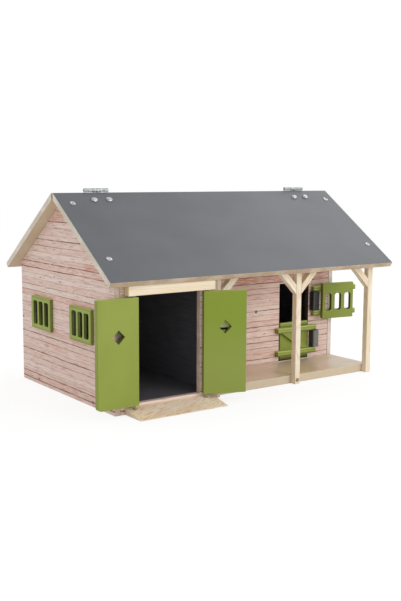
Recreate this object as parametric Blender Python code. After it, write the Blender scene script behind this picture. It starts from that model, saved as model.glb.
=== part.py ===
"""Toy stable with a garage, a porch, opening doors and a hinged back roof.

Sheet parts are 6 mm board. The house frame has x along the front from the left
gable's outer face, y back from the garage front and z up from the ground.
"""
import math

import bmesh
import bpy
from mathutils import Matrix, Vector

# Driving sizes of the house, metres
HOUSE_LENGTH = 0.350
HOUSE_DEPTH = 0.205
FRONT_WALL_HEIGHT = 0.1320
SHEET = 0.006
FLOOR_THICKNESS = 0.009
CLEARANCE = 0.0003
CUT_OVERRUN = 0.0080

# Roof, measured on the top faces of its plates
ROOF_PITCH = math.radians(34.8)
EAVE_OVERHANG = 0.0142
ROOF_OVERHANG_LEFT = 0.012
ROOF_OVERHANG_RIGHT = 0.0095

# Garage front and its opening
GARAGE_WIDTH = 0.1207
GARAGE_JAMB_LEFT = 0.0218
GARAGE_JAMB_RIGHT = 0.0220
GARAGE_SILL_HEIGHT = 0.0095
GARAGE_HEADER = 0.0148

# Lintel beam and ramp, which carry the garage door pins
LINTEL_PAST_LEFT_PIN = 0.0078
LINTEL_PAST_RIGHT_PIN = 0.0088
LINTEL_LAP = 0.0016
LINTEL_HEIGHT = 0.0092
LINTEL_DEPTH = 0.0086
RAMP_PAST_LEFT_PIN = 0.0073
RAMP_PAST_RIGHT_PIN = 0.0108
RAMP_HEIGHT = 0.0071
RAMP_RUN = 0.0285
RAMP_TOE_THICKNESS = 0.0006

# Garage doors, modelled shut and turned on their pins to the open rest pose
GARAGE_DOOR_LAP = 0.0067
GARAGE_DOOR_FOOT_GAP = 0.0025
GARAGE_DOOR_HEAD_GAP = 0.0016
GARAGE_DOOR_MEETING_GAP = 0.0012
GARAGE_DOOR_PIN_INSET = 0.0032
GARAGE_DOOR_STANDOFF = 0.0027
GARAGE_DOOR_CORNER_RADIUS = 0.0030
GARAGE_DOOR_LEFT_REST = math.radians(-179.0)
GARAGE_DOOR_RIGHT_REST = math.radians(160.0)
DIAMOND_DIAGONAL = 0.0138
DIAMOND_RISE = 0.0681
DOOR_PIN_RADIUS = 0.0013
DOOR_PIN_BITE = 0.0045
DOOR_PIN_TOP_BITE = 0.0055
DOOR_PIN_LOW_END = 0.0016
DOOR_PIN_CLEARANCE = 0.0004
CROSSBAR_HEIGHT = 0.0158
CROSSBAR_THICKNESS = 0.0030
CROSSBAR_FREE_INSET = 0.0050
CROSSBAR_HINGE_INSET = 0.0125
CROSSBAR_GROOVE_DROP = 0.0030
CROSSBAR_GROOVE_HEIGHT = 0.0023
CROSSBAR_GROOVE_DEPTH = 0.0020

# Recessed stall front, its opening and the porch
STALL_WALL_BEFORE_RIDGE = 0.0281
STALL_JAMB_RIGHT = 0.0385
STALL_OPENING_WIDTH = 0.0455
STALL_SILL = 0.0010
STALL_HEADER = 0.0300
DIVIDER_TOP = 0.1000

# Half doors of the stall
DOOR_SHEET = 0.0045
DOOR_SIDE_CLEARANCE = 0.0006
LOWER_PANEL_FOOT_GAP = 0.0012
LOWER_HALF_SHARE = 0.506
HALF_DOOR_GAP = 0.0023
UPPER_PANEL_HEAD_GAP = 0.0019
BATTEN_STOCK = 0.0060
BATTEN_LAP = 0.0062
LOWER_BATTEN_FOOT = 0.0054
LOWER_BATTEN_HEAD = 0.0050
UPPER_BATTEN_FOOT = 0.0037
UPPER_BATTEN_HEAD = 0.0037
BRACE_THICKNESS = 0.0040
BRACE_FOOT_LEFT = 0.0320
BRACE_FOOT_WIDTH = 0.0118
BRACE_HEAD_SHIFT = -0.0313
UPPER_DOOR_REST = math.radians(171.5)
HINGE_AXIS_OFFSET = 0.0065
HINGE_BLOCK_WIDTH = 0.0098
HINGE_BLOCK_DEPTH = 0.0083
HINGE_BLOCK_RADIUS = 0.0026
HINGE_PIN_RADIUS = 0.0014
HINGE_PIN_CLEARANCE = 0.0004
HINGE_PIN_END_SHY = 0.0008

# Slots of the upper half door and of the window frames
SLOT_COUNT = 3
DOOR_SLOT_WIDTH = 0.0089
DOOR_SLOT_HEIGHT = 0.0206
DOOR_SLOT_PITCH = 0.0140
DOOR_SLOT_CORNER = 0.0032
DOOR_SLOT_DROP = 0.0015
WINDOW_WIDTH = 0.0450
WINDOW_HEIGHT = 0.0350
WINDOW_THICKNESS = 0.0034
WINDOW_CENTRE_Z = 0.0803
WINDOW_FRONT_Y = 0.0622
WINDOW_REAR_INSET = 0.0541
WINDOW_SLOT_WIDTH = 0.0096
WINDOW_SLOT_HEIGHT = 0.0255
WINDOW_SLOT_PITCH = 0.0130
WINDOW_SLOT_CORNER = 0.0024
WINDOW_REBATE = 0.0030

# Porch posts, their braces and the beam that they carry
POST_STOCK = 0.0070
POST_FRONT_Y = 0.0045
POST_DROP = 0.0078
RIGHT_POST_INSET = 0.0097
BRACE_RISE = 0.0237
GABLE_FORWARD_Y = 0.0060

# Ridge hinges, their bolts and nuts
HINGE_LENGTH = 0.0282
HINGE_INSET_LEFT = 0.0384
HINGE_INSET_RIGHT = 0.0416
BARREL_RADIUS = 0.0020
ROOF_PIN_CLEARANCE = 0.00035
BARREL_RISE = 0.0012
KNUCKLE_GAP = 0.0003
ROOF_PIN_RADIUS = 0.0008
LEAF_THICKNESS = 0.0009
LEAF_INSET = 0.0004
LEAF_LENGTH = 0.0190
LEAF_NECK_SHARE = 0.62
BOLT_SPACING = 0.0173
BOLT_SLOPE_PLACE = 0.0148
BOLT_RADIUS = 0.0015
BOLT_HOLE_CLEARANCE = 0.0004
BOLT_HEAD_RADIUS = 0.0037
BOLT_HEAD_HEIGHT = 0.0019
BOLT_END_SHOW = 0.0006
NUT_ACROSS_CORNERS = 0.0064
NUT_HEIGHT = 0.0024

# Wood screws
SCREW_HEAD_RADIUS = 0.0030
SCREW_HEAD_HEIGHT = 0.0007
SCREW_SHANK_RADIUS = 0.0013
SCREW_SHANK_LENGTH = 0.0120
SCREW_CROWN_SHARE = 0.8
SCREW_RIM_SHARE = 0.5
SCREW_TAPER_SHARE = 0.8
SCREW_HOLE_CLEARANCE = 0.0003
ROOF_SCREW_FROM_RIDGE = 0.0200
ROOF_SCREW_FROM_EAVE = 0.0341
POST_SCREW_HEIGHT = 0.0047

ROUND_SIDES = 20
FINE_SIDES = 14
ARC_STEPS = 5

RIDGE_Y = HOUSE_DEPTH / 2
EAVE_REACH = RIDGE_Y + EAVE_OVERHANG
ROOF_SLOPE_LENGTH = EAVE_REACH / math.cos(ROOF_PITCH)
ROOF_DROP = SHEET / math.cos(ROOF_PITCH)
WALL_DROP = ROOF_DROP + CLEARANCE / math.cos(ROOF_PITCH)
RIDGE_HEIGHT = FRONT_WALL_HEIGHT + WALL_DROP + RIDGE_Y * math.tan(ROOF_PITCH)
ROOF_SCREW_PLACES = (ROOF_SCREW_FROM_RIDGE, ROOF_SLOPE_LENGTH - ROOF_SCREW_FROM_EAVE)
WINDOW_REAR_Y = HOUSE_DEPTH - WINDOW_REAR_INSET
STALL_FRONT_Y = RIDGE_Y - STALL_WALL_BEFORE_RIDGE
INNER_LEFT = SHEET + CLEARANCE
INNER_RIGHT = HOUSE_LENGTH - SHEET - CLEARANCE
INNER_BACK = HOUSE_DEPTH - SHEET - CLEARANCE
RIDGE_HALF_GAP = LEAF_INSET + LEAF_THICKNESS + CLEARANCE
HINGE_CENTRES = (HINGE_INSET_LEFT, HOUSE_LENGTH - HINGE_INSET_RIGHT)
BARREL_BORE = ROOF_PIN_RADIUS + ROOF_PIN_CLEARANCE
GARAGE_SIDE_LEFT = GARAGE_WIDTH - SHEET
GARAGE_OPENING_LEFT = GARAGE_JAMB_LEFT
GARAGE_OPENING_RIGHT = GARAGE_WIDTH - GARAGE_JAMB_RIGHT
GARAGE_OPENING_TOP = FRONT_WALL_HEIGHT - GARAGE_HEADER
PORCH_LEFT = GARAGE_WIDTH + CLEARANCE
RIGHT_POST_X = HOUSE_LENGTH - RIGHT_POST_INSET
MIDDLE_POST_X = (PORCH_LEFT + RIGHT_POST_X) / 2
DIVIDER_X = MIDDLE_POST_X
STALL_BACK_Y = STALL_FRONT_Y + SHEET
STALL_OPENING_RIGHT = HOUSE_LENGTH - STALL_JAMB_RIGHT
STALL_OPENING_LEFT = STALL_OPENING_RIGHT - STALL_OPENING_WIDTH
STALL_OPENING_BOTTOM = FLOOR_THICKNESS + STALL_SILL
STALL_OPENING_TOP = FRONT_WALL_HEIGHT - STALL_HEADER
BATTEN_BACK_Y = STALL_FRONT_Y - CLEARANCE
BATTEN_FRONT_Y = BATTEN_BACK_Y - BATTEN_STOCK
HINGE_AXIS_X = STALL_OPENING_RIGHT + HINGE_AXIS_OFFSET
HINGE_AXIS_Y = BATTEN_BACK_Y - BATTEN_STOCK / 2
PANEL_LEFT = STALL_OPENING_LEFT + DOOR_SIDE_CLEARANCE
PANEL_RIGHT = STALL_OPENING_RIGHT - DOOR_SIDE_CLEARANCE
BATTEN_LEFT = STALL_OPENING_LEFT - BATTEN_LAP
LOWER_PANEL_BOTTOM = STALL_OPENING_BOTTOM + LOWER_PANEL_FOOT_GAP
UPPER_PANEL_TOP = STALL_OPENING_TOP - UPPER_PANEL_HEAD_GAP
HALF_DOORS_HEIGHT = UPPER_PANEL_TOP - LOWER_PANEL_BOTTOM - HALF_DOOR_GAP
LOWER_PANEL_TOP = LOWER_PANEL_BOTTOM + HALF_DOORS_HEIGHT * LOWER_HALF_SHARE
UPPER_PANEL_BOTTOM = LOWER_PANEL_TOP + HALF_DOOR_GAP
LOWER_DOOR_BATTENS = (LOWER_PANEL_BOTTOM + LOWER_BATTEN_FOOT,
                      LOWER_PANEL_TOP - LOWER_BATTEN_HEAD - BATTEN_STOCK)
UPPER_DOOR_BATTENS = (UPPER_PANEL_BOTTOM + UPPER_BATTEN_FOOT,
                      UPPER_PANEL_TOP - UPPER_BATTEN_HEAD - BATTEN_STOCK)
GARAGE_DOOR_BACK_Y = -GARAGE_DOOR_STANDOFF
GARAGE_DOOR_FRONT_Y = GARAGE_DOOR_BACK_Y - SHEET
GARAGE_AXIS_Y = (GARAGE_DOOR_BACK_Y + GARAGE_DOOR_FRONT_Y) / 2
GARAGE_CENTRE = (GARAGE_OPENING_LEFT + GARAGE_OPENING_RIGHT) / 2
GARAGE_DOOR_COVER = GARAGE_OPENING_RIGHT - GARAGE_OPENING_LEFT - GARAGE_DOOR_MEETING_GAP
GARAGE_DOOR_WIDTH = GARAGE_DOOR_COVER / 2 + GARAGE_DOOR_LAP
LEFT_DOOR_OUTER = GARAGE_CENTRE - GARAGE_DOOR_MEETING_GAP / 2 - GARAGE_DOOR_WIDTH
RIGHT_DOOR_OUTER = GARAGE_CENTRE + GARAGE_DOOR_MEETING_GAP / 2 + GARAGE_DOOR_WIDTH
LEFT_DOOR_AXIS_X = LEFT_DOOR_OUTER + GARAGE_DOOR_PIN_INSET
RIGHT_DOOR_AXIS_X = RIGHT_DOOR_OUTER - GARAGE_DOOR_PIN_INSET
LINTEL_LEFT = LEFT_DOOR_AXIS_X - LINTEL_PAST_LEFT_PIN
LINTEL_RIGHT = RIGHT_DOOR_AXIS_X + LINTEL_PAST_RIGHT_PIN
LINTEL_BOTTOM = GARAGE_OPENING_TOP - LINTEL_LAP
RAMP_LEFT = LEFT_DOOR_AXIS_X - RAMP_PAST_LEFT_PIN
RAMP_RIGHT = RIGHT_DOOR_AXIS_X + RAMP_PAST_RIGHT_PIN
GARAGE_DOOR_BOTTOM = RAMP_HEIGHT + GARAGE_DOOR_FOOT_GAP
GARAGE_DOOR_TOP = LINTEL_BOTTOM - GARAGE_DOOR_HEAD_GAP
DIAMOND_HEIGHT = GARAGE_DOOR_BOTTOM + DIAMOND_RISE
ROOF_AXIS_Z = RIDGE_HEIGHT + BARREL_RISE
EAVE_BACK_Y = RIDGE_Y + EAVE_REACH
RAMP_BACK_Y = -CLEARANCE
RAMP_TOE_Y = RAMP_BACK_Y - RAMP_RUN
POST_TOP = FRONT_WALL_HEIGHT - POST_DROP
PORCH_BEAM_BOTTOM = POST_TOP + CLEARANCE
POST_BACK_Y = POST_FRONT_Y + POST_STOCK
PORCH_FLOOR_FRONT_Y = POST_BACK_Y + CLEARANCE
GABLE_FORWARD_BOTTOM = POST_TOP + CLEARANCE


def open_reach(width, thickness, turn):
    """How far an opened door reaches sideways from its hinge axis."""
    return abs(width * math.cos(turn)) + abs(thickness / 2 * math.sin(turn))


REST_LEFT = LEFT_DOOR_AXIS_X - open_reach(
    GARAGE_DOOR_WIDTH - GARAGE_DOOR_PIN_INSET, SHEET, GARAGE_DOOR_LEFT_REST)
REST_RIGHT = HINGE_AXIS_X + open_reach(
    HINGE_AXIS_X - BATTEN_LEFT, BATTEN_STOCK, UPPER_DOOR_REST)
HOUSE_ORIGIN = Vector(((REST_LEFT + REST_RIGHT) / 2, (RAMP_TOE_Y + EAVE_BACK_Y) / 2, 0))
UP = Vector((0, 0, 1))
RIGHT = Vector((1, 0, 0))
BACK = Vector((0, 1, 0))
FRONT_SIDE = -1
BACK_SIDE = 1


# Shape helpers, all in the house frame

def extruded(outline, axis, start, end):
    """A prism: a flat outline swept along x, y or z from start to end."""
    spots = {
        "x": lambda a, b, c: Vector((c, a, b)),
        "y": lambda a, b, c: Vector((a, c, b)),
        "z": lambda a, b, c: Vector((a, b, c)),
    }
    spot = spots[axis]
    shape = bmesh.new()
    face = shape.faces.new([shape.verts.new(spot(a, b, start)) for a, b in outline])
    swept = bmesh.ops.extrude_face_region(shape, geom=[face])
    moved = [item for item in swept["geom"] if isinstance(item, bmesh.types.BMVert)]
    bmesh.ops.translate(shape, verts=moved, vec=spot(0, 0, end - start))
    bmesh.ops.recalc_face_normals(shape, faces=shape.faces)
    return shape


def box(low, high):
    """An upright box between two corners."""
    outline = [(low[0], low[1]), (high[0], low[1]), (high[0], high[1]), (low[0], high[1])]
    return extruded(outline, "z", low[2], high[2])


def turned(profile, sides, start, direction):
    """A turned solid: (radius, height) points from one end of its axis to the other."""
    shape = bmesh.new()
    rings = []
    for radius, height in profile:
        if radius == 0:
            rings.append([shape.verts.new((0, 0, height))])
            continue
        turns = [math.tau * step / sides for step in range(sides)]
        rings.append([
            shape.verts.new((radius * math.cos(turn), radius * math.sin(turn), height))
            for turn in turns
        ])
    for lower, upper in zip(rings, rings[1:]):
        for step in range(sides):
            following = (step + 1) % sides
            corners = [lower[step % len(lower)], lower[following % len(lower)],
                       upper[following % len(upper)], upper[step % len(upper)]]
            shape.faces.new(list(dict.fromkeys(corners)))
    bmesh.ops.recalc_face_normals(shape, faces=shape.faces)
    aim = UP.rotation_difference(Vector(direction).normalized()).to_matrix().to_4x4()
    bmesh.ops.transform(shape, matrix=Matrix.Translation(start) @ aim, verts=shape.verts)
    return shape


def rod(radius, length, sides, start, direction):
    """A plain round bar."""
    return turned([(0, 0), (radius, 0), (radius, length), (0, length)],
                  sides, start, direction)


def as_mesh(shape, name):
    mesh = bpy.data.meshes.new(name)
    shape.to_mesh(mesh)
    shape.free()
    return mesh


def worked(body, tools, operation):
    """The body after each tool is cut from it or joined to it."""
    holder = bpy.data.objects.new("body", as_mesh(body, "body"))
    bpy.context.scene.collection.objects.link(holder)
    helpers = []
    for tool in tools:
        helper = bpy.data.objects.new("tool", as_mesh(tool, "tool"))
        bpy.context.scene.collection.objects.link(helper)
        helpers.append(helper)
        modifier = holder.modifiers.new("work", "BOOLEAN")
        modifier.operation = operation
        modifier.solver = "EXACT"
        modifier.object = helper
    bpy.context.view_layer.update()
    evaluated = holder.evaluated_get(bpy.context.evaluated_depsgraph_get())
    result = bmesh.new()
    result.from_mesh(evaluated.data)
    for used in helpers + [holder]:
        mesh = used.data
        bpy.data.objects.remove(used)
        bpy.data.meshes.remove(mesh)
    return result


def cut(body, tools):
    return worked(body, tools, "DIFFERENCE")


def joined(body, tools):
    return worked(body, tools, "UNION")


def finish(name, colour, roughness, metallic=0.0):
    """A plain surface in the object's own colour, given as sRGB shares."""
    material = bpy.data.materials.new(name)
    material.use_nodes = True
    shader = material.node_tree.nodes["Principled BSDF"]
    linear = [((share + 0.055) / 1.055) ** 2.4 if share > 0.04045 else share / 12.92
              for share in colour]
    shader.inputs["Base Color"].default_value = (*linear, 1.0)
    shader.inputs["Roughness"].default_value = roughness
    shader.inputs["Metallic"].default_value = metallic
    material.diffuse_color = (*linear, 1.0)
    return material


FINISHES = {
    "plank_print": finish("plank_print", (0.87, 0.76, 0.71), 0.65),
    "board_edge": finish("board_edge", (0.78, 0.70, 0.58), 0.70),
    "roof_grey": finish("roof_grey", (0.48, 0.49, 0.51), 0.55),
    "green_paint": finish("green_paint", (0.58, 0.63, 0.30), 0.45),
    "pine": finish("pine", (0.94, 0.88, 0.75), 0.55),
    "ramp_wood": finish("ramp_wood", (0.82, 0.72, 0.56), 0.60),
    "dark_grey": finish("dark_grey", (0.30, 0.30, 0.31), 0.50),
    "zinc_steel": finish("zinc_steel", (0.80, 0.80, 0.80), 0.30, 1.0),
}


def add_part(name, shape, surface, carrier=None):
    """Links one sub-part. A moving one is held by its carrier's axis."""
    base = carrier["pivot"] if carrier else HOUSE_ORIGIN
    bmesh.ops.translate(shape, verts=shape.verts, vec=-Vector(base))
    bmesh.ops.triangulate(shape, faces=[face for face in shape.faces if len(face.verts) > 4])
    mesh = as_mesh(shape, name)
    mesh.shade_smooth()
    mesh.set_sharp_from_angle(angle=math.radians(28))
    mesh.materials.append(FINISHES[surface])
    part = bpy.data.objects.new(name, mesh)
    bpy.context.scene.collection.objects.link(part)
    if carrier:
        part.parent = carrier["axis"]
    return part


def add_axis(name, pivot, turn=0.0):
    """An empty on a joint's axis, turned about z to the rest pose."""
    axis = bpy.data.objects.new(name, None)
    axis.location = Vector(pivot) - HOUSE_ORIGIN
    axis.rotation_euler = (0, 0, turn)
    bpy.context.scene.collection.objects.link(axis)
    return {"axis": axis, "pivot": Vector(pivot)}


# Roof lines

def wall_top(y):
    """Height of a wall end that stops just short of the roof."""
    return RIDGE_HEIGHT - abs(y - RIDGE_Y) * math.tan(ROOF_PITCH) - WALL_DROP


def roof_spot(side, x, along, depth):
    """A point on a roof plate: distance down the slope, depth below its top face."""
    y = side * (along * math.cos(ROOF_PITCH) - depth * math.sin(ROOF_PITCH))
    z = -along * math.sin(ROOF_PITCH) - depth * math.cos(ROOF_PITCH)
    return Vector((x, RIDGE_Y + y, RIDGE_HEIGHT + z))


def roof_inward(side):
    """Direction straight into a roof plate from above."""
    return Vector((0, -side * math.sin(ROOF_PITCH), -math.cos(ROOF_PITCH)))


# Fasteners

def screw(start, direction):
    """A wood screw; start is on the face under its head."""
    crown = -CLEARANCE - SCREW_HEAD_HEIGHT
    profile = [
        (0, crown),
        (SCREW_HEAD_RADIUS * SCREW_CROWN_SHARE, crown),
        (SCREW_HEAD_RADIUS, -CLEARANCE - SCREW_HEAD_HEIGHT * SCREW_RIM_SHARE),
        (SCREW_HEAD_RADIUS, -CLEARANCE),
        (SCREW_SHANK_RADIUS, -CLEARANCE),
        (SCREW_SHANK_RADIUS, SCREW_SHANK_LENGTH * SCREW_TAPER_SHARE),
        (0, SCREW_SHANK_LENGTH),
    ]
    return turned(profile, FINE_SIDES, start, direction)


def screw_hole(start, direction):
    """The drilled hole that a wood screw passes through."""
    begin = Vector(start) - Vector(direction).normalized() * CUT_OVERRUN
    reach = CUT_OVERRUN + SCREW_SHANK_LENGTH + CLEARANCE
    return rod(SCREW_SHANK_RADIUS + SCREW_HOLE_CLEARANCE, reach, FINE_SIDES,
               begin, direction)


def roof_screw_spots():
    """Places of the front roof plate's screws, over the gables' middles."""
    xs = (SHEET / 2, HOUSE_LENGTH - SHEET / 2)
    return [roof_spot(FRONT_SIDE, x, place, 0) for x in xs for place in ROOF_SCREW_PLACES]


def bolt_xs(centre):
    return (centre - BOLT_SPACING / 2, centre + BOLT_SPACING / 2)


def bolt_hole(start, direction):
    """The hole through a roof plate and its hinge leaf."""
    begin = Vector(start) - Vector(direction).normalized() * CUT_OVERRUN
    reach = 2 * CUT_OVERRUN + SHEET + CLEARANCE + LEAF_THICKNESS
    return rod(BOLT_RADIUS + BOLT_HOLE_CLEARANCE, reach, FINE_SIDES, begin, direction)


def hinge_bolt(start, direction):
    """A dome-headed bolt through plate and leaf, with its nut run on below the leaf."""
    dome = [
        (BOLT_HEAD_RADIUS * math.sin(math.pi / 2 * step / ARC_STEPS),
         -CLEARANCE - BOLT_HEAD_HEIGHT * math.cos(math.pi / 2 * step / ARC_STEPS))
        for step in range(1, ARC_STEPS)
    ]
    nut_depth = SHEET + 2 * CLEARANCE + LEAF_THICKNESS
    length = nut_depth + NUT_HEIGHT + BOLT_END_SHOW
    profile = [(0, -CLEARANCE - BOLT_HEAD_HEIGHT)] + dome + [
        (BOLT_HEAD_RADIUS, -CLEARANCE),
        (BOLT_RADIUS, -CLEARANCE),
        (BOLT_RADIUS, length),
        (0, length),
    ]
    bolt = turned(profile, FINE_SIDES, start, direction)
    nut_start = Vector(start) + Vector(direction).normalized() * nut_depth
    return joined(bolt, [rod(NUT_ACROSS_CORNERS / 2, NUT_HEIGHT, 6, nut_start, direction)])


# Walls and floors

def gable_outline(forward_y, low_y, step_height):
    """Side view of a gable: from its back foot round to its front foot."""
    outline = [(HOUSE_DEPTH, 0), (HOUSE_DEPTH, wall_top(HOUSE_DEPTH)),
               (RIDGE_Y, wall_top(RIDGE_Y)), (forward_y, wall_top(forward_y))]
    if step_height > 0:
        outline += [(forward_y, step_height), (low_y, step_height)]
    return outline + [(low_y, 0)]


def roof_screw_holes():
    inward = roof_inward(FRONT_SIDE)
    return [screw_hole(spot, inward) for spot in roof_screw_spots()]


def left_gable_wall():
    body = extruded(gable_outline(0, 0, 0), "x", 0, SHEET)
    half_width = WINDOW_WIDTH / 2 - WINDOW_REBATE
    half_height = WINDOW_HEIGHT / 2 - WINDOW_REBATE
    tools = roof_screw_holes()
    for centre in (WINDOW_FRONT_Y, WINDOW_REAR_Y):
        low = (-CUT_OVERRUN, centre - half_width, WINDOW_CENTRE_Z - half_height)
        high = (SHEET + CUT_OVERRUN, centre + half_width, WINDOW_CENTRE_Z + half_height)
        tools.append(box(low, high))
    add_part("left_gable_wall", cut(body, tools), "plank_print")


def right_gable_wall():
    """The right gable: it runs forward over the porch as a strip under the roof."""
    outline = gable_outline(GABLE_FORWARD_Y, STALL_FRONT_Y, GABLE_FORWARD_BOTTOM)
    body = extruded(outline, "x", HOUSE_LENGTH - SHEET, HOUSE_LENGTH)
    add_part("right_gable_wall", cut(body, roof_screw_holes()), "plank_print")


def back_wall():
    body = box((INNER_LEFT, HOUSE_DEPTH - SHEET, 0),
               (INNER_RIGHT, HOUSE_DEPTH, wall_top(HOUSE_DEPTH)))
    add_part("back_wall", body, "plank_print")


def garage_front_wall():
    body = box((INNER_LEFT, 0, 0), (GARAGE_SIDE_LEFT - CLEARANCE, SHEET, wall_top(0)))
    opening = box((GARAGE_OPENING_LEFT, -CUT_OVERRUN, GARAGE_SILL_HEIGHT),
                  (GARAGE_OPENING_RIGHT, SHEET + CUT_OVERRUN, GARAGE_OPENING_TOP))
    add_part("garage_front_wall", cut(body, [opening]), "plank_print")


def garage_side_wall():
    """The wall between garage and stall: on the ground in front, on the floor behind."""
    on_floor = FLOOR_THICKNESS + CLEARANCE
    outline = [(INNER_BACK, on_floor), (INNER_BACK, wall_top(INNER_BACK)),
               (RIDGE_Y, wall_top(RIDGE_Y)), (0, wall_top(0)), (0, 0),
               (STALL_BACK_Y, 0), (STALL_BACK_Y, on_floor)]
    add_part("garage_side_wall",
             extruded(outline, "x", GARAGE_SIDE_LEFT, GARAGE_WIDTH), "plank_print")


def stall_front_wall():
    body = box((PORCH_LEFT, STALL_FRONT_Y, 0),
               (INNER_RIGHT, STALL_BACK_Y, wall_top(STALL_FRONT_Y)))
    opening = box((STALL_OPENING_LEFT, STALL_FRONT_Y - CUT_OVERRUN, STALL_OPENING_BOTTOM),
                  (STALL_OPENING_RIGHT, STALL_BACK_Y + CUT_OVERRUN, STALL_OPENING_TOP))
    add_part("stall_front_wall", cut(body, [opening]), "plank_print")


def stall_divider():
    """The low wall inside that splits the stall side in two."""
    body = box((DIVIDER_X - SHEET / 2, STALL_BACK_Y + CLEARANCE, FLOOR_THICKNESS + CLEARANCE),
               (DIVIDER_X + SHEET / 2, INNER_BACK, DIVIDER_TOP))
    add_part("stall_divider", body, "board_edge")


def inner_floor():
    """The L-shaped floor board under the garage and the stall."""
    garage_right = GARAGE_SIDE_LEFT - CLEARANCE
    front = SHEET + CLEARANCE
    stall_front = STALL_BACK_Y + CLEARANCE
    outline = [(INNER_LEFT, front), (garage_right, front), (garage_right, stall_front),
               (INNER_RIGHT, stall_front), (INNER_RIGHT, INNER_BACK),
               (INNER_LEFT, INNER_BACK)]
    add_part("inner_floor", extruded(outline, "z", 0, FLOOR_THICKNESS), "board_edge")


def porch_floor():
    body = box((PORCH_LEFT, PORCH_FLOOR_FRONT_Y, 0),
               (HOUSE_LENGTH, STALL_FRONT_Y - CLEARANCE, FLOOR_THICKNESS))
    add_part("porch_floor", cut(body, [screw_hole(post_screw_spot(), BACK)]), "board_edge")


# Window frames

def slot(centre, middle_z, size, axis, start, end):
    """An upright slot with rounded corners, as a cutter. size is width, height, radius."""
    width, height, radius = size
    aside = width / 2 - radius
    reach = height / 2 - radius
    outline = []
    for quarter, (right, up) in enumerate(((1, 1), (-1, 1), (-1, -1), (1, -1))):
        for step in range(ARC_STEPS + 1):
            turn = math.pi / 2 * (quarter + step / ARC_STEPS)
            outline.append((centre + right * aside + radius * math.cos(turn),
                            middle_z + up * reach + radius * math.sin(turn)))
    return extruded(outline, axis, start, end)


def slot_centres(middle, pitch):
    first = middle - pitch * (SLOT_COUNT - 1) / 2
    return [first + pitch * step for step in range(SLOT_COUNT)]


def window_frame(name, centre_y):
    """A slotted frame glued over an opening in the left gable."""
    body = box((-CLEARANCE - WINDOW_THICKNESS, centre_y - WINDOW_WIDTH / 2,
                WINDOW_CENTRE_Z - WINDOW_HEIGHT / 2),
               (-CLEARANCE, centre_y + WINDOW_WIDTH / 2,
                WINDOW_CENTRE_Z + WINDOW_HEIGHT / 2))
    size = (WINDOW_SLOT_WIDTH, WINDOW_SLOT_HEIGHT, WINDOW_SLOT_CORNER)
    tools = [slot(centre, WINDOW_CENTRE_Z, size,
                  "x", -WINDOW_THICKNESS - CUT_OVERRUN, CUT_OVERRUN)
             for centre in slot_centres(centre_y, WINDOW_SLOT_PITCH)]
    add_part(name, cut(body, tools), "green_paint")


# Garage front fittings

def door_axes():
    return (LEFT_DOOR_AXIS_X, RIGHT_DOOR_AXIS_X)


def door_pin_hole(x, low, high):
    return rod(DOOR_PIN_RADIUS + DOOR_PIN_CLEARANCE, high - low, FINE_SIDES,
               (x, GARAGE_AXIS_Y, low), UP)


def lintel_beam():
    top = LINTEL_BOTTOM + LINTEL_HEIGHT
    body = box((LINTEL_LEFT, -CLEARANCE - LINTEL_DEPTH, LINTEL_BOTTOM),
               (LINTEL_RIGHT, -CLEARANCE, top))
    hole_top = LINTEL_BOTTOM + DOOR_PIN_TOP_BITE + CLEARANCE
    tools = [door_pin_hole(x, LINTEL_BOTTOM - CUT_OVERRUN, hole_top) for x in door_axes()]
    add_part("lintel_beam", cut(body, tools), "pine")


def garage_ramp():
    outline = [(RAMP_BACK_Y, 0), (RAMP_TOE_Y, 0), (RAMP_TOE_Y, RAMP_TOE_THICKNESS),
               (RAMP_BACK_Y, RAMP_HEIGHT)]
    body = extruded(outline, "x", RAMP_LEFT, RAMP_RIGHT)
    hole_bottom = DOOR_PIN_LOW_END - CLEARANCE
    tools = [door_pin_hole(x, hole_bottom, RAMP_HEIGHT + CUT_OVERRUN) for x in door_axes()]
    add_part("garage_ramp", cut(body, tools), "ramp_wood")


def garage_door_shape(outer_x, inward, rounded):
    """A shut door leaf with its diamond hole and pin holes. Inward is +1 or -1 in x."""
    inner_x = outer_x + inward * GARAGE_DOOR_WIDTH
    outline = [(outer_x, GARAGE_DOOR_BOTTOM), (outer_x, GARAGE_DOOR_TOP),
               (inner_x, GARAGE_DOOR_TOP)]
    if rounded:
        radius = GARAGE_DOOR_CORNER_RADIUS
        for step in range(ARC_STEPS + 1):
            turn = math.pi / 2 * step / ARC_STEPS
            outline.append((inner_x - inward * radius * (1 - math.cos(turn)),
                            GARAGE_DOOR_BOTTOM + radius * (1 - math.sin(turn))))
    else:
        outline.append((inner_x, GARAGE_DOOR_BOTTOM))
    body = extruded(outline, "y", GARAGE_DOOR_FRONT_Y, GARAGE_DOOR_BACK_Y)
    middle = (outer_x + inner_x) / 2
    reach = DIAMOND_DIAGONAL / 2
    diamond = extruded([(middle - reach, DIAMOND_HEIGHT), (middle, DIAMOND_HEIGHT - reach),
                        (middle + reach, DIAMOND_HEIGHT), (middle, DIAMOND_HEIGHT + reach)],
                       "y", GARAGE_DOOR_FRONT_Y - CUT_OVERRUN,
                       GARAGE_DOOR_BACK_Y + CUT_OVERRUN)
    axis_x = outer_x + inward * GARAGE_DOOR_PIN_INSET
    bite = DOOR_PIN_BITE + CLEARANCE
    holes = [
        door_pin_hole(axis_x, GARAGE_DOOR_BOTTOM - CUT_OVERRUN, GARAGE_DOOR_BOTTOM + bite),
        door_pin_hole(axis_x, GARAGE_DOOR_TOP - bite, GARAGE_DOOR_TOP + CUT_OVERRUN),
    ]
    return cut(body, [diamond] + holes)


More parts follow.
